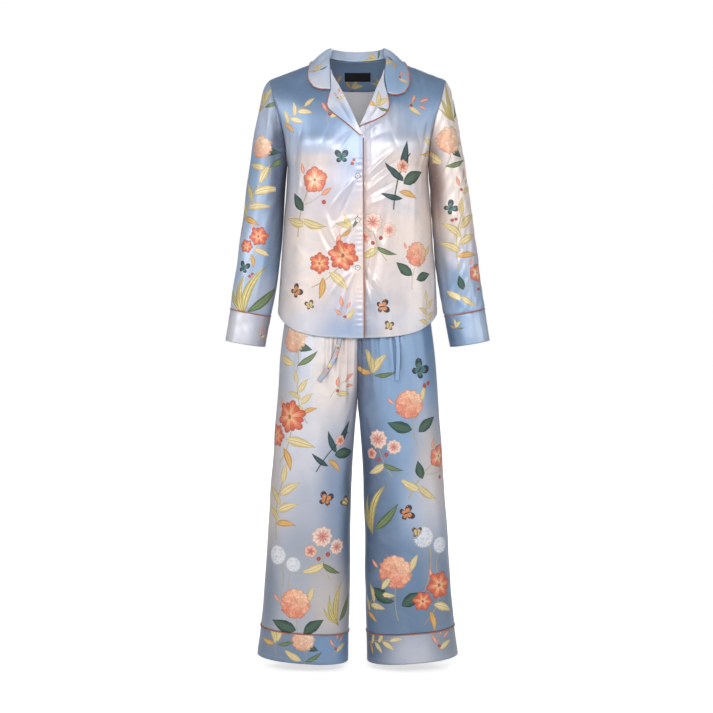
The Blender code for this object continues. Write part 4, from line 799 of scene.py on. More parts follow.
# %% [markdown]
# ## From creases to heights
# Each crease adds a bell-shaped rise across its line, which fades at both ends.  Small gathers
# beside a seam are a wave with an uneven pitch, and `crumple` adds a slow wave made of a few sines
# from a fixed seed, so that no stretch of cloth is quite flat and every run gives the same one.
# %% Crease heights
BENDS, WAVES = 8, 6      # straight parts of a crease's line; sines in a crumple


def crease_height(rows, places):
    """Sum of the creases, in metres, at places in the front frame."""
    total = np.zeros(places.shape[:-1])
    for u1, v1, u2, v2, u3, v3, width, height in rows:
        t = steps(BENDS)[:, None]
        line = ((1 - t) ** 2 * np.array((u1, v1)) + 2 * t * (1 - t) * np.array((u2, v2))
                + t * t * np.array((u3, v3)))
        near, share = np.full(total.shape, np.inf), np.zeros(total.shape)
        for step in range(BENDS):
            along = line[step + 1] - line[step]
            reach = places - line[step]
            part = np.clip((reach @ along) / (along @ along), 0.0, 1.0)
            off = np.linalg.norm(reach - part[..., None] * along, axis=-1)
            share = np.where(off < near, (step + part) / BENDS, share)
            near = np.minimum(near, off)
        ends = np.sin(math.pi * np.clip(share, 0.02, 0.98)) ** 0.6
        total += height * CREASE_SCALE * np.exp(-(near / width) ** 2) * ends
    return total


def pucker_height(rows, places):
    """Small gathers across a seam line, uneven in pitch and depth."""
    total = np.zeros(places.shape[:-1])
    for u1, v1, u2, v2, reach, pitch, height in rows:
        v = places[..., 1]
        off = places[..., 0] - np.interp(v, (v1, v2), (u1, u2))
        phase = 2.0 * math.pi * v / pitch + 1.3 * np.sin(v * 0.131) + 0.9 * np.sin(v * 0.313 + 1.0)
        deep = 0.6 + 0.4 * np.sin(v * 0.083 + 0.7)
        inside = ease((v - v1) / 12.0) * ease((v2 - v) / 8.0)
        total += height * MM * np.sin(phase) * deep * inside * np.exp(-(off / reach) ** 2)
    return total


def crumple(places, seed, size, height):
    """A slow uneven wave made of a few sines, so that no two stretches are alike; height in mm."""
    rng = np.random.default_rng(seed)
    total = np.zeros(places.shape[:-1])
    for _ in range(WAVES):
        direction = rng.normal(size=2) * (1.0, 0.45)
        wave = 2.0 * math.pi / size * rng.uniform(0.6, 1.6)
        total += np.sin(places @ (direction * wave) + rng.uniform(0.0, 6.28))
    return total * height * MM / 3.0


print("a crease one unit away keeps", round(float(np.exp(-1.0)), 2), "of its height")

# %% [markdown]
# ## Ground colours
# The satin is dyed in soft zones, like an evening sky.  A painted picture could do it, but it would
# have to be stored and wrapped.  Here each piece starts from one named tone, and soft oval patches of
# others are laid on it.  A few patches are painted light rather than dye: painted shade down the
# sleeves' inner sides and the body's sides next to them, a painted shadow under the jacket's hem on
# the trousers, painted highlights on the right sleeve and below the right trouser's waist, and a pale
# band across the bust that is partly dye and partly a painted highlight.  The result is kept on the
# mesh as a colour attribute, which a material reads.
# %% Tones and zones
TONES = {name: rows[0] for name, rows in read_table("""
sky: 132 165 202; steel: 96 132 172; slate: 72 100 130; deep: 62 80 110; navy: 34 48 76;
ice: 190 206 230; pale: 208 216 230; mist: 217 217 225; blush: 236 219 211; cream: 243 231 223;
lilac: 194 196 216; fog: 170 176 192; sand: 212 196 184; rose: 224 202 198; grey: 152 146 150;
dusk: 116 130 148; taupe: 136 110 102""").items()}
# painted light in the table below: front_right's ice patch at 316 146 and front_left's pale patch at 410 146
# are partly dye and partly a painted highlight across the bust; the grey patches at 285 228 and 434 190 are
# painted shade on the body's sides beside the sleeves; sleeve_right's navy and deep patches at 279 150, 286
# 180 and 274 196 and sleeve_left's taupe and dusk patches at 437 190 and 441 266 are painted shade on the
# sleeves' inner sides; sleeve_right's ice and pale patches at 264 116, 254 216, 240 270 and 236 300 are
# painted highlights; trouser_front_right's cream patch at 330 376 is a painted highlight;
# trouser_front_left's deep and navy patches at 364 352 and 359 356 are painted shadow under the jacket's hem
# and along the centre seam
GROUND = read_table("""
front_right: blush, 326 84 78 52 0 steel 1, 300 100 40 26 0 slate .45, 300 128 40 20 8 sky .75,
  340 124 28 20 0 steel .9, 316 146 32 7 -4 ice .7, 349 166 19 36 10 lilac .85, 292 176 9 34 0 ice .6,
  322 196 30 22 10 lilac .45, 285 228 6 60 0 grey .35, 296 262 18 50 0 cream .5,
  306 328 44 18 -4 mist .9, 346 324 26 24 0 lilac .95, 350 334 26 13 0 sky .7, 354 150 13 26 0 sky .7,
  350 246 12 18 30 lilac .5, 340 282 10 22 20 lilac .4;
front_left: blush, 404 84 60 50 0 steel 1, 404 98 36 22 0 slate .5, 388 124 46 19 0 fog 1,
  420 110 22 22 0 sky .7, 410 146 24 8 4 pale .6, 370 150 13 24 0 lilac .7, 434 190 7 40 0 grey .3,
  396 196 26 22 0 mist .5, 400 290 34 34 0 mist .35, 372 316 15 26 0 fog .85, 366 330 12 12 0 steel .45,
  372 206 9 22 0 rose .7, 382 224 6 14 20 rose .5, 410 322 36 12 4 mist .8, 424 262 10 44 0 cream .5;
back: blush, 357 70 120 64 0 steel 1, 357 128 80 20 0 sky .8, 357 146 70 9 0 ice .5,
  300 210 22 50 0 lilac .6, 415 216 22 50 0 fog .5, 357 326 100 24 0 lilac .8, 330 240 24 50 0 cream .6,
  384 186 20 34 0 mist .6;
sleeve_right: sky, 262 92 30 30 0 steel .8, 264 116 14 32 10 ice 1, 279 150 9 52 -4 navy .9,
  286 180 12 70 3 navy 1, 274 196 8 44 6 deep .75, 254 216 14 40 10 ice .45, 240 270 16 46 10 ice .8,
  272 262 8 40 8 slate .7, 258 296 18 20 8 fog .8, 236 300 8 14 8 pale .7;
sleeve_left: blush, 440 84 18 22 0 sky .9, 468 300 36 52 -10 sky 1, 470 254 22 12 0 lilac .8,
  437 190 8 56 -4 taupe 1, 446 232 10 24 -10 sand .7, 441 266 8 30 -10 dusk .8,
  450 110 12 34 -8 cream .9, 462 170 12 54 -8 cream .8, 452 292 12 20 0 steel .6,
  471 292 8 26 -10 ice .5;
cuff_right: fog, 236 328 16 22 0 mist .9, 266 334 8 24 8 grey .7;
cuff_left: sky, 480 328 14 16 -30 ice .8, 454 334 7 22 -10 slate .8;
collar: ice, 396 72 22 26 0 sky .95, 357 55 34 9 0 ice .8, 318 84 14 9 0 mist .6, 306 62 10 12 0 sky .6;
lapel_right: mist, 342 118 14 14 30 sky .8, 330 92 10 8 0 ice .7;
lapel_left: mist, 376 112 16 10 -30 lilac .6, 380 90 10 8 0 ice .4;
back_neck_facing: sky, 357 92 30 8 0 steel .7;
waistband: sky;
trouser_front_right: mist, 282 370 12 60 4 fog .8, 302 356 18 40 0 pale .6, 330 376 18 52 4 cream 1,
  346 352 10 44 0 blush .7, 268 486 16 80 6 sand .95, 336 500 19 66 0 steel .9, 298 450 26 36 4 mist .6,
  306 520 26 46 0 fog .75, 300 600 60 70 0 dusk .55, 347 520 6 80 0 slate .8, 330 600 18 34 0 sand .7,
  266 596 12 40 4 dusk .9;
trouser_front_left: sky, 364 352 9 58 -3 deep .9, 359 356 5 56 0 navy .7, 384 352 16 40 -8 sky .8,
  430 350 14 44 -8 steel .7, 404 420 34 40 0 sky .8, 369 500 13 96 0 deep 1, 384 530 18 80 0 slate .7,
  434 470 16 52 -6 sand .8, 426 522 18 44 -6 mist .55, 400 600 60 60 0 slate .7,
  412 564 14 36 0 steel .4, 440 590 12 60 -6 dusk .7;
trouser_back_right: sky, 310 420 36 80 0 mist .8, 344 480 12 90 0 steel .8, 300 600 60 60 0 dusk .7,
  276 500 14 70 4 sand .6, 320 350 40 30 0 ice .5;
trouser_back_left: sky, 376 480 18 100 0 slate .8, 434 470 18 70 -6 sand .7, 404 380 30 40 0 ice .4,
  400 600 60 60 0 dusk .7;
hem_band_right: steel, 276 642 24 22 0 dusk .8, 330 650 20 20 0 sky .5;
hem_band_left: fog, 372 646 22 30 0 slate .9, 414 656 22 16 0 mist .5, 446 636 14 24 0 dusk .8;
drawstring_end_right: fog, 330 362 20 12 0 ice .6;
drawstring_end_left: sky""")
# the base tone, then patches: u, v, half width, half height, turn in degrees, tone, cover
LARGE_ZONE, SOFT_END, SHARP_END = 45, 1.5, 3.0      # a large zone ends more sharply


def linear(colour):
    colour = np.asarray(colour, float) / 255.0
    return np.where(colour <= 0.04045, colour / 12.92, ((colour + 0.055) / 1.055) ** 2.4)


def ground_colour(name, places):
    (base,), *patches = GROUND[name]
    colour = np.tile(linear(TONES[base]), places.shape[:-1] + (1,))
    for u, v, wide, high, turn, tone, cover in patches:
        turn, reach = math.radians(turn), places - (u, v)
        across = (reach[..., 0] * math.cos(turn) + reach[..., 1] * math.sin(turn)) / wide
        down = (reach[..., 1] * math.cos(turn) - reach[..., 0] * math.sin(turn)) / high
        power = SOFT_END if wide < LARGE_ZONE else SHARP_END
        weight = (cover * np.exp(-0.7 * (across ** 2 + down ** 2) ** power))[..., None]
        colour = colour * (1.0 - weight) + linear(TONES[tone]) * weight
    return colour


print(len(GROUND), "pieces coloured")

# %% [markdown]
# ## The motifs of the print
# An ordinary garden print: open blossoms, round clustered heads, leaves, blades, buds, seed heads
# and small butterflies.  There are six kinds of drawing, and each style is one of them with its own
# petals, width, bend and two colours.  Sprays group a few motifs, as a printer's repeat does.
# %% Motifs and sprays
KINDS = {"flower": 1, "leaf": 2, "stem": 3, "cluster": 4, "butterfly": 5, "seeds": 6}
STYLES = {name: rows[0] for name, rows in read_table("""
rose: flower 5 .5 0 255 222 184 226 120 88; star: flower 6 .16 0 250 190 140 214 92 58;
daisy: flower 9 .34 0 206 96 84 247 220 204; small: flower 5 .4 0 196 66 58 244 196 172;
berry: flower 5 .9 0 222 92 66 166 44 38; bud: leaf 0 .34 .04 252 206 172 222 112 82;
leaf: leaf 0 .34 .1 244 226 176 214 190 126; leaf_bent: leaf 0 .3 -.16 240 222 168 200 180 118;
green: leaf 0 .46 .06 70 108 82 26 58 46; green_thin: leaf 0 .22 -.14 138 156 96 72 96 60;
teal: leaf 0 .24 .12 40 92 92 16 34 42; ochre: leaf 0 .3 .14 240 196 112 204 146 66;
blade: leaf 0 .15 .26 246 216 142 170 166 96; stem: stem 0 .018 .16 206 186 126 168 146 90;
stem_bent: stem 0 .018 -.2 206 186 126 168 146 90; stem_dark: stem 0 .024 .14 84 92 66 52 62 48;
head: cluster 14 .93 0 255 206 170 238 126 94; head_pale: cluster 12 .92 0 255 226 196 240 168 134;
butterfly: butterfly 4 .16 .5 236 146 74 38 30 32;
butterfly_pale: butterfly 4 .16 .5 240 206 130 92 66 46;
butterfly_dark: butterfly 4 .16 .5 64 116 112 18 26 34; seeds: seeds 26 .9 0 244 244 246 228 230 236
""").items()}
# each style: kind, petals, width or notch, bend or turn, colour at the heart, colour at the rim
STYLE_CODES = {name: code for code, name in enumerate(STYLES, start=1)}
SPRAYS = read_table("""
rose_branch: stem 0 0 70 62 1, stem_bent 18 20 38 20 1, rose 30 58 31 10 3, bud 54 28 15 28 3,
  leaf -34 -26 30 160 2, leaf_bent 12 -36 32 -24 2, green -20 16 25 118 2, bud 4 88 13 88 3,
  berry 44 6 5 0 3;
star_pair: stem_bent 0 -6 60 74 1, star 12 40 38 16 3, star -28 -4 27 60 3, leaf 32 -18 31 -14 2,
  bud -16 68 15 110 2, ochre 4 -54 27 -70 2;
head_spray: stem 2 -40 50 84 1, head 0 24 41 0 3, green -38 -28 34 150 2, green 36 -44 31 24 2,
  leaf 46 40 22 62 2, bud -46 44 12 120 2;
head_small: stem_bent 0 -30 38 80 1, head_pale 0 14 31 0 3, green_thin 26 -30 26 30 2,
  leaf -26 -26 26 148 2, green 20 -8 20 -20 1;
leaf_fan: leaf 18 24 37 52 1, leaf_bent -10 32 38 104 2, green_thin 36 -4 31 8 2, ochre -31 8 30 158 3,
  stem 0 -16 28 84 1;
leaf_branch: stem 0 0 78 72 1, leaf 27 38 29 26 2, leaf_bent -18 26 29 128 2, leaf 15 -4 28 14 2,
  leaf_bent -30 -14 28 138 2, ochre 4 -42 26 -10 2, leaf 20 76 24 74 3;
blades: blade 8 0 64 70 3, blade -16 -14 50 96 2, green_thin 22 -18 44 48 1, blade -28 -26 36 122 1;
daisy_spray: stem 0 -12 48 100 1, daisy -8 32 24 0 3, daisy 25 8 18 30 3, small -32 2 14 0 3,
  berry 4 -6 5 0 3, berry -16 -14 4.5 0 3, green_thin 12 -36 26 -30 2, leaf -27 -34 25 200 2;
teal_branch: stem_dark 0 0 66 58 1, teal 25 50 36 74 2, teal -8 25 33 124 2, green 32 0 30 12 2,
  small 12 32 15 0 3, teal -31 -24 27 150 3, ochre 8 -34 24 -34 2;
seed_heads: stem_bent -8 -36 50 84 1, seeds -12 22 22 0 2, seeds 24 4 17 0 3, stem 20 -40 32 92 1;
butterflies: butterfly 0 0 24 40 3, butterfly_pale 40 -34 17 110 2;
dark_wings: butterfly_dark 0 0 27 70 3, berry 22 -26 5 0 3, berry 30 -18 4.5 0 3, stem 12 -36 26 50 1;
buds: stem 0 0 34 60 1, bud 17 31 16 60 3, bud -10 15 14 100 3, bud 26 10 12 20 3, leaf 15 -14 21 10 2,
  berry -4 -8 4.5 0 3""")
# each row: style, x and y in mm, half length or radius in mm, turn in degrees, layer
print(len(STYLES), "motifs in", len(SPRAYS), "sprays")

# %% [markdown]
# ## Where the sprays lie
# A placement print is cut so that its flowers fall in chosen places, and no two panels match.  Each
# row sets one spray on a panel, in frame units; names that end in _behind are the back of a tube.
# %% Spray places
PRINT = read_table("""
front_right: leaf_branch 294 118 .62 -30, buds 330 110 .9 20, dark_wings 342 158 .8 20,
  rose_branch 306 208 1 8, star_pair 330 268 .95 -30, butterflies 296 292 .9 0, leaf_fan 350 228 .5 60,
  buds 344 314 .8 40;
front_left: buds 414 104 .8 -40, teal_branch 402 182 1 16, daisy_spray 379 236 1 10,
  head_spray 416 262 .72 -8, leaf_fan 430 150 .6 40, butterflies 382 306 .9 -30,
  leaf_branch 428 316 .6 20;
sleeve_right: leaf_fan 264 106 .7 20, head_small 262 152 .9 20, leaf_branch 252 204 .95 -10,
  star_pair 254 246 .62 -10, blades 252 290 1 -6, dark_wings 244 268 .7 0;
sleeve_left: blades 450 104 .7 20, head_small 448 146 1.05 -12, buds 462 186 .9 10,
  dark_wings 450 208 .8 -30, leaf_branch 462 240 .95 14, rose_branch 466 288 .7 -10;
collar: leaf_fan 376 63 .45 80, leaf_fan 318 70 .36 30, buds 402 76 .6 -40, leaf_fan 392 62 .4 100;
lapel_left: leaf_fan 377 106 .5 -20;
lapel_right: buds 338 96 .42 20;
back_neck_facing: leaf_fan 352 88 .42 -40, buds 335 80 .5 60, leaf_fan 380 86 .36 60;
trouser_front_right: head_small 294 346 1.1 10, buds 340 388 .9 -14, star_pair 286 434 1.05 0,
  teal_branch 334 452 .9 -10, leaf_branch 302 400 .7 30, butterflies 326 500 1 30,
  leaf_branch 282 506 1 8, daisy_spray 326 552 1.1 0, seed_heads 282 566 1.1 0,
  head_spray 296 612 .9 10, blades 338 604 .8 12;
trouser_front_left: leaf_fan 372 372 .8 0, dark_wings 420 370 1.1 -20, head_spray 412 412 .85 14,
  daisy_spray 384 452 1 12, rose_branch 426 478 .9 -12, blades 376 508 1 0, butterflies 406 514 1 -20,
  seed_heads 430 548 1.2 0, head_spray 396 582 1 6, star_pair 434 600 .9 -8, leaf_branch 374 604 .8 -20;
drawstring_end_right: buds 336 349 .55 150, buds 331 360 .55 -60, buds 326 369 .5 120;
hem_band_right: leaf_fan 276 642 .7 10, head_small 304 646 .9 0, buds 336 646 .8 20;
hem_band_left: buds 440 642 .9 20, leaf_branch 378 644 .6 -60;
cuff_right: buds 262 334 .4 0;
cuff_left: leaf_fan 456 328 .3 0;
sleeve_right_behind: head_spray 258 140 .8 6, leaf_branch 254 196 1 -6, rose_branch 248 256 .8 -8;
sleeve_left_behind: leaf_fan 448 112 .8 10, daisy_spray 452 170 1 10, teal_branch 460 230 .8 8,
  buds 468 288 1 0;
hem_band_right_behind: leaf_fan 284 644 .7 0, buds 326 646 .9 10;
hem_band_left_behind: head_small 402 644 .8 0, leaf_branch 436 642 .6 60;
back: head_spray 400 150 1.1 8, rose_branch 320 170 1.1 -12, teal_branch 360 220 1.1 14,
  leaf_branch 300 250 1 0, star_pair 410 252 1.1 0, daisy_spray 340 292 1.2 20,
  butterflies 360 120 1.1 0, blades 386 310 1 0, buds 302 116 1 0;
trouser_back_right: rose_branch 320 380 1.1 0, head_spray 292 450 1.1 12, leaf_branch 330 500 1.1 -10,
  star_pair 300 566 1.1 0, butterflies 330 430 1.1 0, daisy_spray 326 606 1.1 0;
trouser_back_left: leaf_branch 396 380 1.1 0, daisy_spray 420 440 1.2 0, head_spray 388 500 1.1 -12,
  teal_branch 420 560 1.1 10, rose_branch 386 606 1 0, dark_wings 424 500 1.1 0""")
# each row: spray, u, v, scale, turn in degrees
print(sum(len(rows) for rows in PRINT.values()), "sprays placed")

# %% [markdown]
# ## Carrying the print on the cloth
# A material can't know where a flower's centre is, so the mesh tells it.  Every face corner inside a
# motif keeps the motif's own coordinates (a, b) and its style's number, in three layers so that a
# leaf can lie behind a petal.  The coordinates follow the cloth, so the print bends with it.
# %% Print coordinates
LAYERS, NOWHERE = (1, 2, 3), (9.0, 9.0, 0.0)
FACING, SAME_WAY = 0.15, 0.25      # how squarely a place faces the view, and a motif's own middle
DEEPEST, MARGIN = 0.07, 0.0055     # metres behind the motif's middle, and past its outline


def turned(x, y, angle):
    """A place's coordinates along axes turned by an angle."""
    return x * math.cos(angle) + y * math.sin(angle), y * math.cos(angle) - x * math.sin(angle)


def print_marks(name, grid, normals, view):
    """For every element of a piece's print: its local coordinates all over the grid."""
    places, elements = view(grid), []
    facing = normals[..., 1] < -FACING if view is seen else normals[..., 1] > FACING
    for spray, u, v, scale, turn in PRINT.get(name, ()):
        off = np.linalg.norm(places - (u, v), axis=-1) + 1e6 * ~facing
        row, column = np.unravel_index(int(np.argmin(off)), off.shape)
        normal = normals[row, column]
        up = unit(np.array((0.0, 0.0, 1.0)) - normal * normal[2])
        right, reach = np.cross(up, normal), grid - grid[row, column]
        near = (normals @ normal > SAME_WAY) & (np.abs(reach @ normal) < DEEPEST)
        swing, scale = math.radians(turn), scale * MM
        for style, x, y, size, own, layer in SPRAYS[spray]:
            x, y = turned(scale * x, scale * y, -swing)
            local = turned(reach @ right - x, reach @ up - y, swing + math.radians(own))
            size = size * scale
            elements.append((style, layer, np.stack(local, -1) / size, near, size))
    return elements


def corner_marks(elements, faces):
    """Per layer: an array of (a, b, code) for the corners of the outside faces."""
    marks = {layer: np.tile(NOWHERE, (len(faces), 4, 1)) for layer in LAYERS}
    best = {layer: np.full(len(faces), np.inf) for layer in LAYERS}
    for style, layer, local, near, size in elements:
        kind, _, width, bend = STYLES[style][:4]
        corners = local.reshape(-1, 2)[faces]
        middle = corners.mean(axis=1)
        margin = MARGIN / size
        if kind in ("leaf", "stem"):
            high = np.abs(middle[:, 1] - bend * (1.0 - middle[:, 0] ** 2))
            off = np.maximum(np.abs(middle[:, 0]) / (1.0 + margin), high / (width + margin))
        else:
            off = np.linalg.norm(middle, axis=1) / (1.0 + margin)
        take = (off < 1.0) & (off < best[layer]) & near.reshape(-1)[faces].all(axis=1)
        best[layer][take] = off[take]
        marks[layer][take, :, :2] = corners[take]
        marks[layer][take, :, 2] = STYLE_CODES[style]
    return marks


print("a motif reaches", MARGIN, "m past its outline")

# %% [markdown]
# ## Writing node trees as formulas
# A Blender material is a graph of small nodes.  It can be clicked together, or built in a script one
# node and one link at a time, which is long to read.  `Graph` adds a node in one call, and `Field`
# stands for a number that the nodes will work out: adding or multiplying two fields adds the Math
# node that does it.  The print below is mostly such sums, so this keeps it readable as a formula.
# %% Graph and field
STOPS = 32.0      # places on a colour ramp, one for each style's number


class Field:
    """A number worked out by nodes; sums with it add Math nodes."""

    def __init__(self, graph, socket):
        self.graph, self.socket = graph, socket

    def do(self, operation, *others, clamp=False):
        return self.graph.math(operation, self, *others, clamp=clamp)

    def __rsub__(self, other):
        return self.graph.math("SUBTRACT", other, self)


for sign, operation in (("add", "ADD"), ("radd", "ADD"), ("mul", "MULTIPLY"), ("rmul", "MULTIPLY"),
                        ("sub", "SUBTRACT"), ("truediv", "DIVIDE"), ("pow", "POWER"), ("abs", "ABSOLUTE"),
                        ("gt", "GREATER_THAN"), ("lt", "LESS_THAN")):
    setattr(Field, "__%s__" % sign, lambda self, *other, operation=operation: self.do(operation, *other))


class Graph:
    """Short names for adding nodes to a tree."""

    def __init__(self, tree):
        self.tree = tree

    def node(self, kind, *values, **settings):
        node = self.tree.nodes.new(kind if "Node" in kind else "ShaderNode" + kind)
        for key, value in settings.items():
            setattr(node, key, value)
        for socket, value in zip(node.inputs, values):
            self.put(value, socket)
        return node

    def put(self, value, socket):
        value = getattr(value, "socket", value)
        if isinstance(value, bpy.types.NodeSocket):
            self.tree.links.new(value, socket)
        elif value is not None:
            socket.default_value = value

    def math(self, operation, *values, clamp=False):
        return Field(self, self.node("Math", *values, operation=operation, use_clamp=clamp).outputs[0])

    def mix(self, share, a, b, blend="MIX"):
        node = self.node("Mix", data_type="RGBA", blend_type=blend)
        for index, value in ((0, share), (6, a), (7, b)):
            self.put(value, node.inputs[index])
        return node.outputs[2]

    def span(self, value, low, high, start=0.0, end=1.0):
        return Field(self, self.node("MapRange", value, low, high, start, end, clamp=True,
                                     interpolation_type="SMOOTHSTEP").outputs[0])

    def texture(self, kind, vector, settings=(), **inputs):
        node = self.node("Tex" + kind, vector, **dict(settings))
        for key, value in inputs.items():
            node.inputs[key].default_value = value
        return node.outputs

    def noise(self, vector, scale, detail=2.0, rough=0.5, distortion=0.0):
        return Field(self, self.texture("Noise", vector, Scale=scale, Detail=detail, Roughness=rough,
                                        Distortion=distortion)["Fac"])

    def relief(self, shader, height, strength, distance):
        """Fine relief: a Bump node between a height and the shader's normal."""
        bump = self.node("Bump")
        for key, value in (("Strength", strength), ("Distance", distance), ("Height", height)):
            self.put(value, bump.inputs[key])
        self.put(bump.outputs[0], shader.inputs["Normal"])

    def ramp(self, share, stops):
        node = self.node("ValToRGB", share)
        node.color_ramp.interpolation = "CONSTANT"
        while len(node.color_ramp.elements) < len(stops):
            node.color_ramp.elements.new(1.0)
        for index, (element, colour) in enumerate(zip(node.color_ramp.elements, stops)):
            element.position, element.color = index / STOPS, colour
        return node.outputs


def rgba(colour):
    return (*linear(colour), 1.0)


# %% [markdown]
# ## Drawing the print
# A print could be a picture wrapped round the cloth, but a picture blurs when looked at closely and
# smears at seams.  Here every petal and leaf is a formula of its own two local coordinates `a` and
# `b`: how far out a place lies (`off`, 1 at the outline) gives the outline, and other sums give the
# petals' folds, the leaves' veins, the ruffled heads and the wings' spots.  The style's number picks
# its colours and shape from three stepped colour ramps, so one drawing serves every motif.
# %% The print's drawing
MOST_PETALS, MOST_KINDS = 32.0, 8.0      # what 1 stands for in a ramp's colour


def draw_layer(g, layer, under, ink):
    """Draws one layer of the print over the colour `under`."""
    mark = g.node("Attribute", attribute_name="print_%d" % layer, attribute_type="GEOMETRY").outputs["Vector"]
    a, b, code = (Field(g, part) for part in g.node("SeparateXYZ", mark).outputs)
    place, styles = (code + 0.5) / STOPS, list(STYLES.values())
    shape, kind = g.ramp(place, [(0.0, 0.5, 0.5, 0.0)] + [
        (petals / MOST_PETALS, width, (bend + 1.0) / 2.0, KINDS[kind] / MOST_KINDS)
        for kind, petals, width, bend, *_ in styles])
    heart, rim = (g.ramp(place, [(0, 0, 0, 1)] + [rgba(style[part:part + 3]) for style in styles])[0]
                  for part in (4, 7))
    petals, width, bend = (Field(g, part) for part in g.node("SeparateColor", shape).outputs)
    petals, bend, kind = petals * MOST_PETALS, bend * 2.0 - 1.0, Field(g, kind) * MOST_KINDS

    def is_kind(*names):
        codes = [KINDS[name] for name in names]
        return kind.do("COMPARE", sum(codes) / len(codes), 0.3 + (len(codes) - 1) / 2.0)

    is_flower, is_leaf, is_line, is_head = (is_kind(*names) for names in (
        ("flower",), ("leaf",), ("leaf", "stem"), ("cluster",)))

    # outlines: round motifs by radius and angle, leaves and stems by their distance from a bent line
    radius, angle = (a * a + b * b).do("SQRT"), b.do("ARCTAN2", a)
    turned = angle * petals * 0.5 + bend * math.pi
    front = abs(turned.do("COSINE")) ** 0.6
    rear = abs(turned.do("SINE")) ** 0.6 * (is_flower * 0.82)
    reach = width + front.do("MAXIMUM", rear) * (1.0 - width)
    reach = reach * (1.0 - (1.0 - angle.do("COSINE")) * (is_kind("butterfly") * 0.2))
    wobble = (g.noise(mark, 2.3) - 0.5) * 0.16
    florets = g.texture("Voronoi", mark, Scale=4.4)
    floret = Field(g, florets["Distance"])
    round_off = radius / (reach + wobble + (floret - 0.42) * (is_head * -0.26))
    square = 1.0 - a * a
    across = abs(b - bend * square)
    taper = (square * (1.0 - a * 0.32) - 1.0) * is_leaf + 1.0
    half = (width * (taper * (1.0 + wobble * 2.0))).do("MAXIMUM", 0.0004)
    line_off = across / half + (abs(a) > 1.0) * 9.0
    off = line_off * is_line + round_off * (1.0 - is_line)

    # tones, 0 at the heart's colour and 1 at the rim's, for each kind of motif
    streak = abs((angle * (petals * 2.5)).do("SINE"))
    flower_tone = g.span(off, 0.1, 0.95) + (streak - 0.6) * 0.34 + (rear > front) * 0.35
    leaf_tone = g.span(off, 0.1, 1.0) + g.noise(mark, 2.0) * 0.3
    cell = Field(g, g.node("SeparateColor", florets["Color"]).outputs[0])
    head_tone = cell * 0.55 + 0.15 - (a + b) * 0.308
    spots = (floret < 0.24) * (off > 0.72)
    body = (abs(b) < 0.06) * (abs(a) < 0.42)
    wing_tone = g.span(off, 0.56, 0.7) - spots * 0.8 + body + (abs((angle * 9.0).do("SINE")) > 0.965)
    tone = 0.0
    for names, part in ((("flower",), flower_tone), (("leaf", "stem"), leaf_tone), (("cluster",), head_tone),
                        (("butterfly",), wing_tone), (("seeds",), radius)):
        tone = tone + part * is_kind(*names)
    colour = g.mix(tone.do("MAXIMUM", 0.0).do("MINIMUM", 1.0), heart, rim)

    # drawn lines: veins and ribs, petal folds, eyes, the frills of heads and a soft outline
    veins = g.span(((a - across * 1.3) * 30.0).do("SINE"), 0.8, 1.0)
    rib = 1.0 - g.span(across, 0.008, 0.03)
    fold = (1.0 - g.span(abs(front - rear), 0.0, 0.13)) * (radius > 0.24)
    frills = g.texture("Voronoi", mark, dict(feature="DISTANCE_TO_EDGE"), Scale=6.6)
    frill = 1.0 - g.span(frills["Distance"], 0.015, 0.11)
    eye = (radius + floret * 0.12 < 0.17) * is_flower
    edge = g.span(off, 0.82, 0.96) * (0.75 - is_kind("cluster", "seeds") * 0.5)
    borders = (g.span(floret, 0.5, 0.7) * 0.5).do("MAXIMUM", frill) * (is_head * 0.48)
    lines = (veins * 0.45).do("MAXIMUM", rib) * is_leaf + fold * (is_flower * 0.7)
    lines = lines.do("MAXIMUM", eye.do("MAXIMUM", borders)).do("MAXIMUM", edge)
    colour = g.mix(lines * 0.75, colour, g.mix(1.0, rim, rgba((150, 140, 128)), "MULTIPLY"))
    shade = 0.84 + g.noise(mark, 3.1, 3.0) * 0.32
    colour = g.mix(1.0, colour, g.node("CombineColor", *[shade] * 3).outputs[0], "MULTIPLY")

    # cover: nearly full, thin and rayed on seed heads
    rays = abs((angle * 13.0).do("COSINE")) ** 3.0
    fluff = rays * 0.25 + (0.22 + g.span(floret, 0.1, 0.6) * 0.45)
    cover = is_kind("seeds") * (fluff - 0.96) + 0.96
    mask = (1.0 - g.span(off, 0.94, 1.02)).do("MULTIPLY", cover * (code > 0.5), clamp=True)
    return g.mix(mask, under, colour), mask.do("MAXIMUM", ink)


def print_group():
    tree = bpy.data.node_groups.new("garden_print", "ShaderNodeTree")
    for name, way, kind in (("Ground", "INPUT", "Color"), ("Colour", "OUTPUT", "Color"),
                            ("Ink", "OUTPUT", "Float")):
        tree.interface.new_socket(name, in_out=way, socket_type="NodeSocket" + kind)
    g = Graph(tree)
    colour, ink = g.node("NodeGroupInput").outputs[0], 0.0
    for layer in LAYERS:
        colour, ink = draw_layer(g, layer, colour, ink)
    g.node("NodeGroupOutput", colour, ink)
    print("the print has", len(tree.nodes), "nodes")
    return tree


GROUP = print_group()

# %% [markdown]
# ## Satin
# Satin shines because long threads float over its face.  Its highlight is broad and soft, brighter
# than cotton's but not a mirror's.  A Principled shader can get there by a low roughness alone, which
# looks like plastic.  Here a little metallic and a thin rough coat give the gloss its depth, a fine
# diagonal weave breaks it up, and a stretched noise in a Bump node gives small rumples.  The wrong
# side shows the threads' backs: it is paler and matte, with the print only just showing through.
# %% Satin
SLANTING = dict(wave_type="BANDS", bands_direction="DIAGONAL")
FACE = dict(Sheen_Weight=0.05, Metallic=0.3, Coat_Weight=0.18, Specular_IOR_Level=0.7)
BACK_OF_CLOTH = dict(Sheen_Weight=0.2, Metallic=0.0, Coat_Weight=0.0, Specular_IOR_Level=0.3)


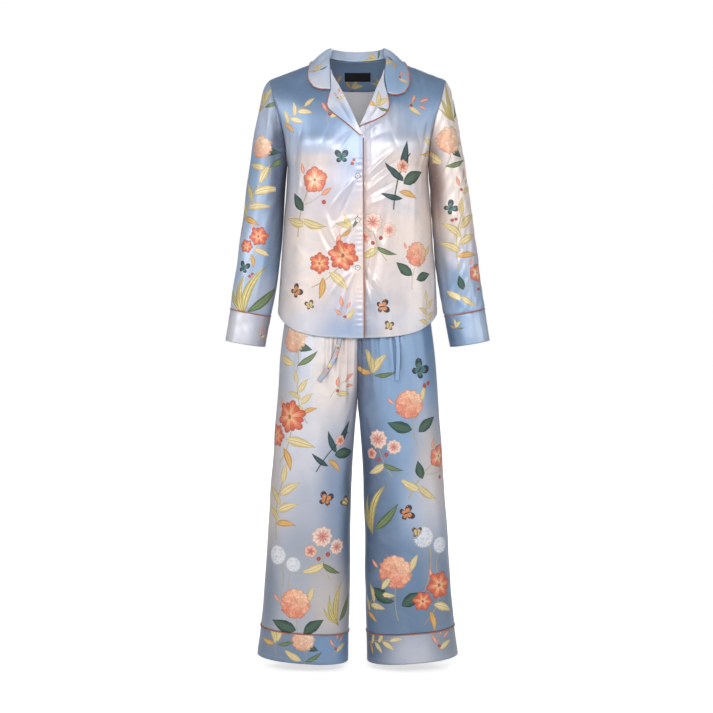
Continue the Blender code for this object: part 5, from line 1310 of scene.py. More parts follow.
def new_material(name, **values):
    """A Principled material; plain numbers go straight on the shader's own sockets."""
    material = bpy.data.materials.new(name)
    material.use_nodes = True
    g = Graph(material.node_tree)
    shader = g.tree.nodes["Principled BSDF"]
    for key, value in values.items():
        shader.inputs[key.replace("_", " ")].default_value = value
    return material, g, shader, g.node("TexCoord").outputs["Object"]


def satin(name, looks, rough, bleach):
    material, g, shader, where = new_material(name, Sheen_Roughness=0.45, Coat_Roughness=0.3, **looks)
    ground = g.node("Attribute", attribute_name="ground", attribute_type="GEOMETRY").outputs["Color"]
    ground = g.mix(g.noise(where, 9.0, 3.0) * 0.1, ground, rgba((236, 226, 226)))
    blotch = g.span(g.noise(where, 15.0, 4.0, 0.6, 0.8), 0.42, 0.7)
    printed = g.node("ShaderNodeGroup")
    printed.node_tree = GROUP
    g.put(g.mix(blotch * 0.22, ground, rgba((150, 168, 196))), printed.inputs[0])
    colour, ink = printed.outputs[0], Field(g, printed.outputs[1])
    thread = g.texture("Wave", where, SLANTING, Scale=480.0, Distortion=1.5)
    colour = g.mix(0.05, colour, thread["Color"], "OVERLAY")
    stretch = g.node("Mapping", where)
    stretch.inputs["Scale"].default_value = (1.0, 1.0, 0.38)
    rumple = g.noise(stretch.outputs[0], 30.0, 2.0, 0.4, 0.4)
    g.relief(shader, rumple + Field(g, thread["Fac"]) * 0.006, 0.35, 0.0025)
    g.put(g.mix(bleach, colour, rgba((250, 248, 250))) if bleach else colour, shader.inputs["Base Color"])
    g.put(rough + g.noise(where, 60.0) * 0.1 + ink * 0.05, shader.inputs["Roughness"])
    return material


SATIN = satin("satin_print", FACE, rough=0.36, bleach=0.0)
WRONG_SIDE = satin("satin_wrong_side", BACK_OF_CLOTH, rough=0.62, bleach=0.86)
print("satin made with", len(SATIN.node_tree.nodes), "nodes")

# %% [markdown]
# ## Thread, tape and pearl
# The piping, stitches and label are made of twisted thread: fine slanting bands in colour and relief,
# with slow patches so that no length looks dyed by machine.  The buttons imitate mother of pearl, a
# hard glossy stuff with a cloudy bloom, and their rim is painted dark, a painted shade that sets them
# off from the pale satin.
# %% Thread, tape and pearl


def thread_material(name, colour, scale=900.0, rough=0.5):
    """Thread, cord or tape: fine twisted strands with a little colour variation."""
    material, g, shader, where = new_material(name, Sheen_Weight=0.2, Sheen_Roughness=0.4,
                                              Specular_IOR_Level=0.45)
    strand = g.texture("Wave", where, SLANTING, Scale=scale, Distortion=0.6)
    strand, patch = Field(g, strand["Fac"]), g.noise(where, 40.0, 3.0)
    dark = tuple(channel * 0.62 for channel in colour)
    light = tuple(min(255, channel * 1.12 + 6) for channel in colour)
    shade = g.mix(strand * 0.8, rgba(dark), rgba(colour))
    g.put(g.mix(patch * 0.5, shade, rgba(light)), shader.inputs["Base Color"])
    g.put(rough - 0.05 + patch * 0.12, shader.inputs["Roughness"])
    g.relief(shader, strand, 0.5, 0.0004)
    return material


def pearl_material(name, low, high):
    material, g, shader, where = new_material(name, Coat_Weight=0.6, Coat_Roughness=0.12,
                                              Specular_IOR_Level=0.6)
    cloud = g.noise(where, 260.0, 3.0, 0.5, 1.2)
    g.put(g.mix(cloud, rgba(low), rgba(high)), shader.inputs["Base Color"])
    g.put(0.16 + cloud * 0.12, shader.inputs["Roughness"])
    g.relief(shader, cloud, 0.15, 0.0002)
    return material


RUST = thread_material("piping_rust", (200, 118, 80), 1100.0, 0.36)
THREAD = thread_material("thread_pale", (206, 200, 204), 2400.0)
DARK_THREAD = thread_material("thread_dark", (44, 42, 46), 2400.0)
BLUE_THREAD = thread_material("thread_blue", (74, 90, 116), 2400.0)
TAPE = thread_material("label_tape", (26, 27, 32), 1300.0, 0.6)
PEARL = pearl_material("pearl", (226, 222, 226), (250, 246, 240))
# a dark pearl for the buttons' rims: painted shade round each button
PEARL_RIM_SHADE = pearl_material("pearl_rim_painted_shade", (58, 52, 54), (104, 94, 92))
print(len(bpy.data.materials), "materials")

# %% [markdown]
# ## Closed shells
# A sheet with no thickness has no inside and can't be printed or cast, so each piece is closed: the
# outside grid, the same grid moved in by the cloth's thickness, and a rim round the edges.  The Solidify
# modifier could do it, but here the outside, inside and rims also get their own places in the UV map.
# %% Meshes and shells
THIN, LABEL_THICK, TIE_THICK = 0.0007, 0.0008, 0.0012
OUTSIDE_U, INSIDE_U, INSIDE_START = 0.8, 0.14, 0.855      # shares of the UV map's width
RIM_U, RIM_START, RIM_STEP, UV_BORDER = 0.009, 0.803, 0.0115, 0.002


def add_object(name, data):
    thing = bpy.data.objects.new(name, data)
    bpy.context.scene.collection.objects.link(thing)
    return thing


def stands_for(thing, node):
    """Tells the frame which solid a piece replaces; the whole set is one rigid body."""
    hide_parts(node)
    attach(thing, "root")


def build_mesh(name, vertices, quads, materials, slots):
    mesh = bpy.data.meshes.new(name)
    mesh.vertices.add(len(vertices))
    mesh.vertices.foreach_set("co", np.asarray(vertices, np.float32).ravel())
    mesh.loops.add(len(quads) * 4)
    mesh.loops.foreach_set("vertex_index", np.asarray(quads, np.int32).ravel())
    mesh.polygons.add(len(quads))
    mesh.polygons.foreach_set("loop_start", np.arange(len(quads), dtype=np.int32) * 4)
    for material in materials:
        mesh.materials.append(material)
    mesh.polygons.foreach_set("material_index", np.asarray(slots, np.int32))
    mesh.update(calc_edges=True)
    mesh.validate()
    mesh.shade_smooth()
    return add_object(name, mesh)


def shell_faces(rows, columns, closed):
    """Quads of a grid's outside, and of its inside and rims, with their places in the UV map."""
    count, spans = rows * columns, columns if closed else columns - 1
    r, c = (part.ravel() for part in np.meshgrid(np.arange(rows - 1), np.arange(spans), indexing="ij"))
    near, far = r * columns + c, r * columns + (c + 1) % columns
    outer = np.stack([near, far, far + columns, near + columns], -1)
    across, down = np.arange(spans), np.arange(rows - 1) * columns
    edges = [(across, (across + 1) % columns, True),
             (across + count - columns, (across + 1) % columns + count - columns, False)]
    if not closed:
        edges += [(down, down + columns, False), (down + columns - 1, down + 2 * columns - 1, True)]
    u, v = np.array([c, c + 1, c + 1, c]).T / spans, np.array([r, r, r + 1, r + 1]).T / (rows - 1.0)
    quads = [outer, outer[:, ::-1] + count]
    uv = [np.stack([u * OUTSIDE_U, v], -1), np.stack([u * INSIDE_U + INSIDE_START, v], -1)[:, ::-1]]
    for number, (a, b, back) in enumerate(edges):
        rim, start = np.stack([a, b, b + count, a + count], -1), RIM_START + number * RIM_STEP
        share, end = np.arange(len(rim)) / len(rim), np.arange(1, len(rim) + 1) / len(rim)
        quads.append(rim[:, ::-1] if back else rim)
        uv.append(np.stack([np.tile((start, start, start + RIM_U, start + RIM_U), (len(rim), 1)),
                            np.stack([share, end, end, share], -1)], -1))
    return outer, np.vstack(quads), np.vstack(uv) * (1.0 - 2.0 * UV_BORDER) + UV_BORDER


def shell(name, grid, normals, closed, ground, elements, materials=(SATIN, WRONG_SIDE), thick=THIN):
    """Closes a grid into a thin shell that carries its colours and its print."""
    outer, quads, uv = shell_faces(*grid.shape[:2], closed)
    flat, middle = grid.reshape(-1, 3), outer[len(outer) // 2 + grid.shape[1] // 3]
    turn = np.cross(flat[middle[1]] - flat[middle[0]], flat[middle[3]] - flat[middle[0]])
    if float(turn @ normals.reshape(-1, 3)[middle[0]]) < 0.0:      # the quads run the other way round
        outer, quads, uv = outer[:, ::-1], quads[:, ::-1], uv[:, ::-1]
    slots = np.zeros(len(quads), int)
    slots[len(outer):2 * len(outer)] = 1
    inside = (grid - normals * thick).reshape(-1, 3)
    thing = build_mesh(name, np.vstack([flat, inside]), quads, materials, slots)
    mesh = thing.data
    mesh.uv_layers.new(name="OFBake").uv.foreach_set("vector", uv.reshape(-1).astype(np.float32))
    colour = mesh.attributes.new("ground", "FLOAT_COLOR", "POINT")
    both = np.vstack([ground.reshape(-1, 3)] * 2)
    colour.data.foreach_set("color", np.hstack([both, np.ones((len(both), 1))]).astype(np.float32).ravel())
    for number, values in corner_marks(elements, outer).items():
        full = np.tile(np.float32(NOWHERE), (len(quads), 4, 1))
        full[:len(outer)] = values
        attribute = mesh.attributes.new("print_%d" % number, "FLOAT_VECTOR", "CORNER")
        attribute.data.foreach_set("vector", full.ravel())
    return thing


print("cloth is", THIN, "m thick")

# %% [markdown]
# ## Seams and edges
# At a seam the cloth is held flat and turns in a little, as if pressed.  `edge_fade` takes the
# creases away towards the seams, and `edge_roll` sinks the edge itself by half a millimetre or so,
# which draws the thin dark line by which a seam is seen.
# %% Seam edges
PRESSED, SEAM_FADE = 0.003, 0.01      # how far a pressed edge and a seam's pull reach


def edge_distances(grid):
    """How far each point lies from the grid's four edges, along the cloth."""
    run, side = run_along(grid), run_along(grid, 1)
    return {"top": run, "bottom": run[-1:] - run, "start": side, "end": side[:, -1:] - side}


def edge_roll(grid, normals, seams):
    """Turns the named edges inwards a little, as at a pressed seam."""
    off, sink = edge_distances(grid), np.zeros(grid.shape[:2])
    for edge, depth in seams.items():
        sink += depth * np.exp(-(off[edge] / PRESSED) ** 2)
    return grid - normals * sink[..., None]


def edge_fade(grid, free):
    """1 in the middle of a panel and 0 on its edges, apart from the free ones."""
    fade = np.ones(grid.shape[:2])
    for edge, off in edge_distances(grid).items():
        if edge not in free:
            fade = fade * ease(off / SEAM_FADE)
    return fade


print("an edge's pull is gone", SEAM_FADE, "m from it")

# %% [markdown]
# ## One piece of cloth
# Every panel takes the same steps: its form, its creases, its pressed edges, its colours and print,
# and its shell.  The frame is then told which solid the shell replaces, and the piece's flat size,
# measured along the grid before the creases as a maker would lay it on a table, is printed.
# %% A piece of cloth
GRIDS = {}
HEM_SHINE, HEM_WIDTH = 0.55, 0.0045      # the jacket's rolled hem catches the light


def flat_size(grid, closed):
    """Greatest width and length of a sheet laid flat, and its area, measured along its grid."""
    width = run_along(np.concatenate([grid, grid[:, :1]], axis=1) if closed else grid, 1)[:, -1]
    rows = np.linalg.norm(np.diff(grid, axis=0), axis=-1)
    area = float(np.sum((width[1:] + width[:-1]) / 2.0 * rows.mean(axis=1)))
    return float(width.max()), float(rows.sum(axis=0).max()), area


def cloth(name, form, closed=False, view=seen, rests=(), seams={}, free=(),
          waves=(0.05, 0.5, 1), materials=(SATIN, WRONG_SIDE)):
    """Makes one cloth piece from its form: creases, colours, print, shell and its facts."""
    base, normals = form
    places, (size, height, seed) = view(base), waves
    along = np.stack([base[..., 0] + 0.5 * base[..., 1], base[..., 2]], -1)
    heights = (crease_height(CREASES.get(name, ()), places) * CREASE_DEPTH.get(name, 1.0)
               + crumple(along, seed, size, height))
    free = (*free, "start", "end") if closed else free      # a tube has no side edges
    heights = heights * edge_fade(base, free) + pucker_height(PUCKERS.get(name, ()), places)
    grid = edge_roll(base + normals * heights[..., None], normals, seams)
    if name in ("front_right", "front_left"):      # the panels meet at the shoulder and don't cross
        grid[..., 1] = np.minimum(grid[..., 1], SHOULDER_Y)
    if name == "back":
        grid[..., 1] = np.maximum(grid[..., 1], SHOULDER_Y)
    ground = ground_colour(name, places)
    # on the jacket's panels, a painted highlight: the ground turns pale along the rolled hem
    if name in ("front_right", "front_left", "back"):
        rolled = HEM_SHINE * np.exp(-(run_along(base[::-1])[::-1] / HEM_WIDTH) ** 2)[..., None]
        ground = ground * (1.0 - rolled) + linear(TONES["pale"]) * rolled
    elements = print_marks(name, base, normals, view)
    if closed:
        elements += print_marks(name + "_behind", base, normals, seen_back)
    thing = shell("cloth_" + name, grid, normals, closed, ground, elements, materials)
    stands_for(thing, name)
    *flat, area = flat_size(base, closed)
    print("%-20s flat %.3f x %.3f m, area %.4f" % (name, *flat, area))
    GRIDS[name] = grid, normals


# %% [markdown]
# ## The jacket's panels
# Two fronts, a back, two sleeves and two cuffs are sewn from separate pieces, and are separate here
# too.  Only their waves and seams differ, so they are made in a loop over the wearer's two sides.
# %% Jacket panels
FREE_HEM, ARMHOLE_GAP = ("bottom",), 0.0004
for side, name in SIDES.items():
    cloth("front_" + name, front_form(side), seams=dict(top=.0009, end=.0009), free=FREE_HEM,
          waves=(0.05, 0.3, 3 + side))
back, back_out = back_form()
cloth("back", (back, back_out), view=seen_back, seams=dict(top=.0006, start=.0009, end=.0009),
      free=FREE_HEM, waves=(0.06, 0.8, 11))
for side, name in SIDES.items():
    grid, normals = sleeve_form(side)
    grid[0, :, 0] += side * ARMHOLE_GAP
    cloth("sleeve_" + name, (grid, normals), closed=True,
          seams=dict(top=.001, bottom=.0006), waves=(0.045, 0.9, 21 + side))
    cloth("cuff_" + name, cuff_form(side), closed=True,
          seams=dict(top=.0004), waves=(0.03, 0.35, 31 + side))

# %% [markdown]
# ## Collar, lapels and neck facing
# These lie folded on the panels made before.  The facing inside the back neck is the back's own
# grid again, moved in and turned over, so that it can't stray from it, with satin on both sides.
# %% Collar, lapels and facing
FACING_END, FACING_INSET = 0.74, 0.0022      # share down the back; metres inside it
cloth("collar", collar_form(), rests=("cloth_back",), waves=(0.03, 0.25, 41))
LAPEL_ROWS = {}
for side, name in SIDES.items():
    grid, normals, LAPEL_ROWS[side] = lapel_form(side, GRIDS["front_" + name][0])
    cloth("lapel_" + name, (grid, normals), rests=("cloth_front_" + name,),
          waves=(0.03, 0.12, 51 + side))
middle = back.shape[1] // 2
facing_rows = int(np.argmin(np.abs(SHARES - FACING_END))) + 1
block = slice(0, facing_rows), slice(middle - NECK_COLUMNS, middle + NECK_COLUMNS + 1)
cloth("back_neck_facing", (back[block] - back_out[block] * FACING_INSET, -back_out[block]),
      waves=(0.04, 0.05, 61), materials=(SATIN, SATIN))

# %% [markdown]
# ## The neck label
# A small woven label is sewn inside the back neck.  It is a blank strip of black tape, read off the back's
# grid between its points, so that it has the same curve and lies just clear of the facing.
# %% Neck label
LABEL_SIZE, LABEL_SHARES, LABEL_HALF, LABEL_INSET = (0.06, 0.0206), (0.91, 0.83), 0.395, 0.0025


def between(grid, rows, columns):
    """Points of a grid at fractional rows and columns."""
    rows, columns = np.meshgrid(rows, columns, indexing="ij")
    r, c = np.clip(rows.astype(int), 0, grid.shape[0] - 2), np.clip(columns.astype(int), 0, grid.shape[1] - 2)
    v, u = (rows - r)[..., None], (columns - c)[..., None]
    return ((grid[r, c] * (1 - u) + grid[r, c + 1] * u) * (1 - v)
            + (grid[r + 1, c] * (1 - u) + grid[r + 1, c + 1] * u) * v)


label_rows = np.interp(np.linspace(*LABEL_SHARES, 11), SHARES[::-1], np.arange(len(SHARES))[::-1])
label_columns = middle + np.linspace(-LABEL_HALF, LABEL_HALF, 31) * NECK_COLUMNS
label_out = unit(between(back_out, label_rows, label_columns))
label = between(back, label_rows, label_columns) - label_out * LABEL_INSET
GROUND["neck_label"] = [["grey"]]
tag = shell("cloth_neck_label", label, label_out, False, ground_colour("neck_label", seen(label)), [],
            (TAPE, TAPE), LABEL_THICK)
stands_for(tag, "neck_label")
print("label", LABEL_SIZE, "m")

# %% [markdown]
# ## The trousers' panels
# Each leg has a front, a back and a hem band.  The centre seam is pressed in only below the crotch
# (`parted`); above it the two halves meet edge to edge, so that no light shows between them.
# %% Trouser panels and bands
for side, name in SIDES.items():
    for face, view, seed in (("front", seen, 71), ("back", seen_back, 76)):
        form = trouser_form(face, side)
        parted = .0006 * (1.0 - above_crotch(form[0]))
        cloth("trouser_%s_%s" % (face, name), form, view=view, free=("top",), waves=(0.07, 1.0, seed + side),
              seams=dict(start=.0008, end=parted, bottom=.0004))
    cloth("hem_band_" + name, band_form(side), closed=True, waves=(0.06, 0.4, 81 + side))
cloth("waistband", waist_form(), closed=True, waves=(0.05, 0.1, 91))

# %% [markdown]
# ## The ties
# Each tie is a strip swept along its route.  A bevelled curve would give a round cord; these are flat
# and folded, so the strip is laid across the route at right angles to the way the cloth faces, a
# little thicker in the middle.
# %% Ties
TIE_STEPS, TIE_BULGE, RIBS = 120, 0.0004, np.linspace(-1.0, 1.0, 13)[None, :, None]
TIE_GRIDS = {}
for side, route in TIE_ROUTES.items():
    name = "drawstring_end_" + SIDES[side]
    read = smooth(np.arange(len(route)), route)
    line = resample(read(np.linspace(0, len(route) - 1, 300)), steps(TIE_STEPS))
    ahead = unit(np.gradient(line, axis=0))
    across = unit(np.cross(ahead, (0.0, -1.0, 0.0)))
    out = unit(np.cross(across, ahead))
    out = np.where(out[:, 1:2] > 0.0, -out, out)
    bulge = (1.0 - np.abs(RIBS) ** 3) * TIE_BULGE
    grid = line[:, None] + across[:, None] * RIBS * TIE_WIDTH / 2.0 + out[:, None] * bulge
    normals = np.repeat(out[:, None], RIBS.size, axis=1)
    tie = shell("tie_" + SIDES[side], grid, normals, False, ground_colour(name, seen(grid)),
                print_marks(name, grid, normals, seen), (SATIN, SATIN), TIE_THICK)
    TIE_GRIDS[SIDES[side]] = grid, normals
    length = float(run_along(line)[-1])
    stands_for(tie, name)
    print(tie.name, "length", round(length, 4))

# %% [markdown]
# ## Node groups that follow a path
# Piping is a thin cord covered with rust satin and caught in a seam, and a row of stitches is one small
# thread repeated.  Both follow a path, which is what Geometry Nodes are good at: one group sweeps a
# circle along it, the other sets a stitch at every pitch, each a little longer or shorter from a
# fixed seed.  Their sizes are named inputs, so the same group serves every seam.
# %% Cord and stitch groups


def new_group(name, **sockets):
    tree = bpy.data.node_groups.new(name, "GeometryNodeTree")
    tree.interface.new_socket("Geometry", in_out="INPUT", socket_type="NodeSocketGeometry")
    for label, kind in sockets.items():
        tree.interface.new_socket(label, in_out="INPUT", socket_type="NodeSocket" + kind)
    tree.interface.new_socket("Geometry", in_out="OUTPUT", socket_type="NodeSocketGeometry")
    g = Graph(tree)
    return tree, g, g.node("NodeGroupInput").outputs


def geo(g, kind, values, **settings):
    """Adds a geometry node and fills its inputs by name or number."""
    node = g.node(kind if "Node" in kind else "GeometryNode" + kind, **settings)
    for key, value in values.items():
        g.put(value, node.inputs[key])
    return node.outputs


def close_group(g, geometry, material):
    solid = geo(g, "RealizeInstances", {"Geometry": geometry})[0]
    g.node("NodeGroupOutput", geo(g, "SetMaterial", {"Geometry": solid, "Material": material})[0])


def cord_group():
    tree, g, inputs = new_group("cord_on_path", Radius="Float", Sides="Int", Material="Material")
    line = geo(g, "MeshToCurve", {"Mesh": inputs["Geometry"]})[0]
    profile = geo(g, "CurvePrimitiveCircle", {"Resolution": inputs["Sides"], "Radius": inputs["Radius"]})[0]
    swept = geo(g, "CurveToMesh", {"Curve": line, "Profile Curve": profile, "Fill Caps": True})[0]
    close_group(g, swept, inputs["Material"])
    return tree


def stitch_group():
    tree, g, inputs = new_group("stitches_on_path", Pitch="Float", Length="Float", Thickness="Float",
                                Seed="Int", Material="Material")
    line = geo(g, "MeshToCurve", {"Mesh": inputs["Geometry"]})[0]
    marks = geo(g, "CurveToPoints", {"Curve": line, "Length": inputs["Pitch"]}, mode="LENGTH")
    stitch = geo(g, "MeshCylinder", {"Vertices": 6, "Radius": inputs["Thickness"], "Depth": inputs["Length"]})
    spread = geo(g, "FunctionNodeRandomValue", {2: 0.85, 3: 1.12, "Seed": inputs["Seed"]}, data_type="FLOAT")
    turn = geo(g, "FunctionNodeAlignRotationToVector", {"Vector": marks["Tangent"]}, axis="Z")
    placed = geo(g, "InstanceOnPoints", {"Points": marks["Points"], "Instance": stitch[0],
                                         "Rotation": turn[0], "Scale": spread[1]})[0]
    close_group(g, placed, inputs["Material"])
    return tree


CORD, STITCHES = cord_group(), stitch_group()
print(len(CORD.nodes), "nodes for a cord,", len(STITCHES.nodes), "for stitches")

# %% [markdown]
# ## Running a group on a path
# The path becomes a small mesh of edges, a modifier runs the group on it, and the evaluated result is
# kept as a plain mesh, because what is handed on must not depend on live modifiers.  An input is
# set by its socket's identifier, since two inputs may share a name.
# %% Along a path
CORD_RADIUS, STITCH_LENGTH, STITCH_SEED = 0.00115, 0.0019, 5
EDGE_GAP, EDGE_SINK = 0.0009, 0.0003      # a cord's place past an edge and below its face


def along_path(name, points, tree, values, closed=False):
    """Runs a group on a path and keeps the result as a plain mesh."""
    mesh, count = bpy.data.meshes.new(name + "_path"), len(points)
    edges = [(i, (i + 1) % count) for i in range(count if closed else count - 1)]
    mesh.from_pydata([tuple(map(float, point)) for point in points], edges, [])
    path = add_object(name + "_path", mesh)
    modifier = path.modifiers.new("nodes", "NODES")
    modifier.node_group = tree
    for item in tree.interface.items_tree:
        if item.in_out == "INPUT" and item.name in values:
            modifier[item.identifier] = values[item.name]
    path.update_tag()
    graph = bpy.context.evaluated_depsgraph_get()
    mesh = bpy.data.meshes.new_from_object(path.evaluated_get(graph))
    path.modifiers.remove(modifier)
    bpy.data.objects.remove(path, do_unlink=True)
    mesh.name = name
    mesh.shade_smooth()
    thing = add_object(name, mesh)
    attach(thing, "root")
    print(name, len(mesh.polygons), "faces")
    return thing


def cord_piece(node, points, closed=False):
    sizes = {"Radius": CORD_RADIUS, "Sides": 10, "Material": RUST}
    thing = along_path("cord_" + node, points, CORD, sizes, closed)
    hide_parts(node)


def stitch_piece(name, points, closed=False, pitch=0.003, thick=0.00022, material=THREAD):
    sizes = {"Pitch": pitch, "Length": STITCH_LENGTH, "Thickness": thick, "Seed": STITCH_SEED,
             "Material": material}
    along_path("stitches_" + name, points, STITCHES, sizes, closed)


def edge_path(edge, inside, out):
    """A line just past a panel's edge."""
    along = unit(np.gradient(edge, axis=0))
    outward = edge - inside
    for way in (along, out):
        outward = outward - way * np.sum(outward * way, axis=1, keepdims=True)
    return edge + unit(outward) * EDGE_GAP - out * EDGE_SINK


# %% [markdown]
# ## Piping
# Rust piping outlines the collar, the lapels and the front edge, and marks the cuffs and hem bands.
# Each cord follows the edge of its own panel's grid, moved out by its own radius, so it sits in
# the seam wherever the cloth goes.  At the cuffs and hem bands a close row of stitches holds it.
# %% Piping
RING_DROP, RING_STAND, STITCH_DROP, STITCH_STAND = 0.0004, 0.001, 0.0034, 0.0002
collar, collar_out = GRIDS["collar"]
border = ([((0, c), (1, c)) for c in range(4, collar.shape[1] - 1)] + [((0, -1), (1, -2))]
          + [((r, -1), (r, -2)) for r in range(1, collar.shape[0] - 1)] + [((-1, -1), (-2, -2))]
          + [((-1, c), (-2, c)) for c in range(collar.shape[1] - 2, 3, -1)])
cord_piece("piping_collar", edge_path(*(np.array([collar[pair[k]] for pair in border]) for k in (0, 1)),
                                      np.array([collar_out[pair[0]] for pair in border])))
grid, normals = (part[BREAK_ROW + 1:] for part in GRIDS["front_right"])
cord_piece("piping_front_edge", edge_path(grid[:, 0], grid[:, 1], normals[:, 0]))
for side, name in SIDES.items():
    grid, normals = (part[LAPEL_ROWS[side]:] for part in GRIDS["lapel_" + name])
    cord_piece("piping_lapel_" + name, edge_path(grid[:, -1], grid[:, -2], normals[:, -1]))
    for node, piece in (("piping_cuff_" + name, "cuff_" + name), ("piping_hem_" + name, "hem_band_" + name)):
        grid, normals = GRIDS[piece]
        down = unit(grid[1] - grid[0])
        cord_piece(node, grid[0] + down * RING_DROP + normals[0] * RING_STAND, closed=True)
        stitch_piece(piece, grid[0] + down * STITCH_DROP + normals[0] * STITCH_STAND, closed=True)

# %% [markdown]
# ## Hems and edge stitches
# The jacket's hem is turned up and stitched 7 mm above its edge, and the cuffs, hem bands and ties
# are stitched too.  `inset_row` measures that distance along every column of a panel's grid.
# %% Hem stitches
HEM_DEPTH, BAND_DEPTH, LIFT, TIE_LIFT = 0.007, 0.01, 0.0002, 0.0003


def inset_row(name, distance):
    """A line that follows a panel's lower edge at a distance above it."""
    grid, normals = GRIDS[name]
    columns = []
    for c in range(grid.shape[1]):
        line, out = grid[::-1, c], normals[::-1, c]
        columns.append([np.interp(distance, run_along(line), line[:, axis] + LIFT * out[:, axis])
                        for axis in range(3)])
    return np.array(columns)


for name in ("front_right", "front_left", "back"):
    stitch_piece("hem_" + name, inset_row(name, HEM_DEPTH))
for name, (grid, normals) in TIE_GRIDS.items():
    for edge, column in (("inner", 0), ("outer", -1)):
        stitch_piece("tie_%s_%s" % (name, edge), grid[8:-1, column] + normals[8:-1, column] * TIE_LIFT,
                     pitch=0.0024, thick=0.0004, material=BLUE_THREAD)
for name in ("hem_band_right", "hem_band_left", "cuff_right", "cuff_left"):
    stitch_piece("edge_" + name, inset_row(name, BAND_DEPTH), closed=True)

# %% [markdown]
# ## Buttons
# Three pearly four-hole buttons, 12 mm wide, fasten the jacket.  A button is turned on a lathe, so it
# is made the same way: a profile of radii and heights is spun round, and four small hollows are sunk
# into it.  Two crossed threads run through the holes.  Each stands square to the cloth under it.
# %% Buttons
BUTTON_HEIGHTS = (-.2715, -.3688, -.476)
PROFILE = np.array((      # radius and height, from the middle of the face over the rim to the back
    (0.0, .0017), (.0006, .0017), (.0011, .0017), (.0016, .0017), (.0021, .0017), (.0027, .0018),
    (.0034, .002), (.004, .0026), (.0045, .0029), (.005, .0028), (.0054, .0024), (.006, .0014),
    (.006, .0008), (.0052, .0001), (.003, 0.0), (0.0, 0.0)))
TURNS, FACE_RINGS, DISH, STAND = 64, 7, .0012, .0006
HOLE_OUT, HOLE_RADIUS, HOLE_DEPTH = .0015, .00055, .0011
# painted shade: faces this far from the middle take the dark pearl, a dark ring round each button
RIM_SHADE_FROM, RIM_SHADE_CENTRE = .0051, .0015      # faces further than this from the middle are edge-coloured
THREAD_OUT, THREAD_RADIUS, THREAD_LOW, THREAD_RISE = .0016, .00036, .0007, .0012


def button_points():
    """Rings of a turned button with four holes: across, up and out."""
    r, a = np.meshgrid(PROFILE[1:-1, 0], circle(TURNS), indexing="ij")
    x, y, out = r * np.cos(a), r * np.sin(a), np.repeat(PROFILE[1:-1, 1:], TURNS, axis=1)
    on_face = np.arange(len(r))[:, None] < FACE_RINGS
    for angle in circle(4) + math.pi / 4.0:
        off = np.hypot(x - HOLE_OUT * math.cos(angle), y - HOLE_OUT * math.sin(angle))
        sunk = out - HOLE_DEPTH * np.exp(-(off / HOLE_RADIUS) ** 4)
        out = np.where((out > DISH) & on_face, sunk, out)
    return np.stack([x, y, out], -1)


def button(number, z):
    normal = front_normal(-1, 0.0, z)
    across = unit(np.cross(normal, (0.0, 0.0, 1.0)))
    axes = np.array((across, np.cross(across, normal), normal))
    foot, local = front_point(-1, 0.0, z) + normal * STAND, button_points()
    rows, count = local.shape[:2]
    ends = [(0.0, 0.0, PROFILE[0, 1]), (0.0, 0.0, 0.0)]
    vertices = foot + np.vstack([local.reshape(-1, 3), ends]) @ axes
    mesh = bpy.data.meshes.new("button_%d_detail" % number)
    faces = [(i + j, i + (j + 1) % count, i + count + (j + 1) % count, i + count + j)
             for i in range(0, (rows - 1) * count, count) for j in range(count)]
    last = (rows - 1) * count
    faces += [(rows * count, (j + 1) % count, j) for j in range(count)]
    faces += [(rows * count + 1, last + j, last + (j + 1) % count) for j in range(count)]
    mesh.from_pydata([tuple(map(float, v)) for v in vertices], [], faces)
    work = bmesh.new()
    work.from_mesh(mesh)
    bmesh.ops.recalc_face_normals(work, faces=work.faces)
    work.to_mesh(mesh)
    work.free()
    mesh.materials.append(PEARL)
    mesh.materials.append(PEARL_RIM_SHADE)
    # the rim's faces take the dark pearl, painted shade round the button
    for face in mesh.polygons:
        if np.linalg.norm(np.array(face.center) - foot - normal * RIM_SHADE_CENTRE) > RIM_SHADE_FROM:
            face.material_index = 1
    mesh.shade_smooth()
    stands_for(add_object(mesh.name, mesh), "button_%d" % number)
    for stroke, angle in enumerate((math.pi / 4.0, 3.0 * math.pi / 4.0)):
        t = np.linspace(-1.0, 1.0, 9)
        line = foot + np.stack([THREAD_OUT * t * math.cos(angle), THREAD_OUT * t * math.sin(angle),
                                THREAD_LOW + THREAD_RISE * (1.0 - t * t)], -1) @ axes
        thread = along_path("button_thread_%d_%d" % (number, stroke), line, CORD,
                            {"Radius": THREAD_RADIUS, "Sides": 8, "Material": DARK_THREAD})
    print(mesh.name, len(faces), "faces")


for number, z in enumerate(BUTTON_HEIGHTS, start=1):
    button(number, z)

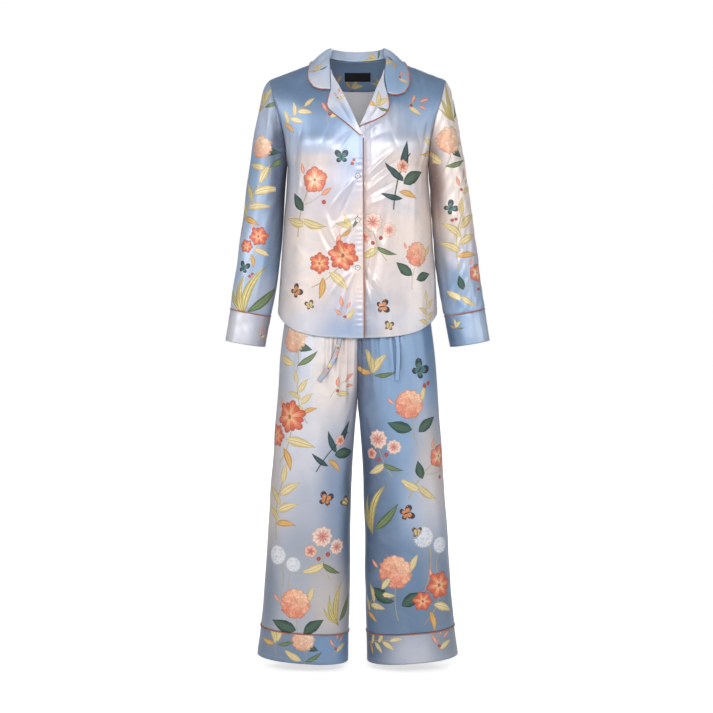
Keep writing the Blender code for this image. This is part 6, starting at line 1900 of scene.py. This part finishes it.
# %% [markdown]
# ## Floor and background
# The set stands before plain white.  A white floor under soft light still comes out grey at a
# distance, so it glows a little for the camera alone (the Light Path node knows), and more so further
# out, where it meets a white world.  Near the hems it keeps its soft shadow.
# %% Floor and world
FLOOR_Z, FLOOR_HALF, WHITE = -1.412, 6, (1.0, 1.0, 1.0, 1.0)
floor_mesh = bpy.data.meshes.new("floor")
corners = [(x * FLOOR_HALF, y * FLOOR_HALF, FLOOR_Z) for x, y in ((-1, -1), (1, -1), (1, 1), (-1, 1))]
floor_mesh.from_pydata(corners, [], [(0, 1, 2, 3)])
floor_material, g, shader, where = new_material("floor_pale", Roughness=0.75)
g.put(g.mix(g.noise(where, 3.0), rgba((238, 238, 240)), rgba((245, 245, 246))), shader.inputs["Base Color"])
far = g.span(g.node("VectorMath", where, operation="LENGTH").outputs["Value"], 1.2, 4.0, 0.6, 1.0)
g.put(far * g.node("LightPath").outputs["Is Camera Ray"], shader.inputs["Emission Strength"])
g.put(WHITE, shader.inputs["Emission Color"])
floor_mesh.materials.append(floor_material)
add_object("floor", floor_mesh)

world = bpy.data.worlds.new("studio")
bpy.context.scene.world = world
bpy.context.scene.view_settings.view_transform = "Standard"
world.use_nodes = True
g = Graph(world.node_tree)
backdrop = g.tree.nodes["Background"]
g.put(0.27 + Field(g, g.node("LightPath").outputs["Is Camera Ray"]) * 0.73, backdrop.inputs["Strength"])
g.put(WHITE, backdrop.inputs["Color"])
print("floor at", FLOOR_Z)

# %% [markdown]
# ## Soft boxes
# Satin shows its light's shape, so the lights are large and few: a low wide one in front draws the
# bright band across the chest, two at the sides round off sleeves and legs, one behind serves the
# back, and a weak one from above opens the shadows.
# %% Lights
SOFT_BOXES = {      # place, height aimed at, size and power
    "front": ((0.1, -3.9, 0.8), -0.4, (2.4, 0.5), 72),
    "left": ((-2.9, -2.4, 0.7), -0.6, (1.8, 1.8), 42),
    "right": ((3.2, -1.9, 0.1), -0.6, (2.0, 2.2), 24),
    "back": ((0.8, 3.9, 0.7), -0.5, (2.6, 1.4), 44),
    "top": ((0.0, -0.4, 2.4), -0.4, (2.0, 1.2), 6)}
for name, (place, aim, size, power) in SOFT_BOXES.items():
    data = bpy.data.lights.new(name, "AREA")
    data.shape, data.size, data.size_y, data.energy = "RECTANGLE", *size, power
    lamp = add_object(name, data)
    way = unit(np.array((0.0, 0.0, aim)) - place)
    lamp.location = place
    lamp.rotation_euler = (math.acos(-way[2]), 0.0, math.atan2(way[0], -way[1]) + math.pi)
    print(name, power, "W")
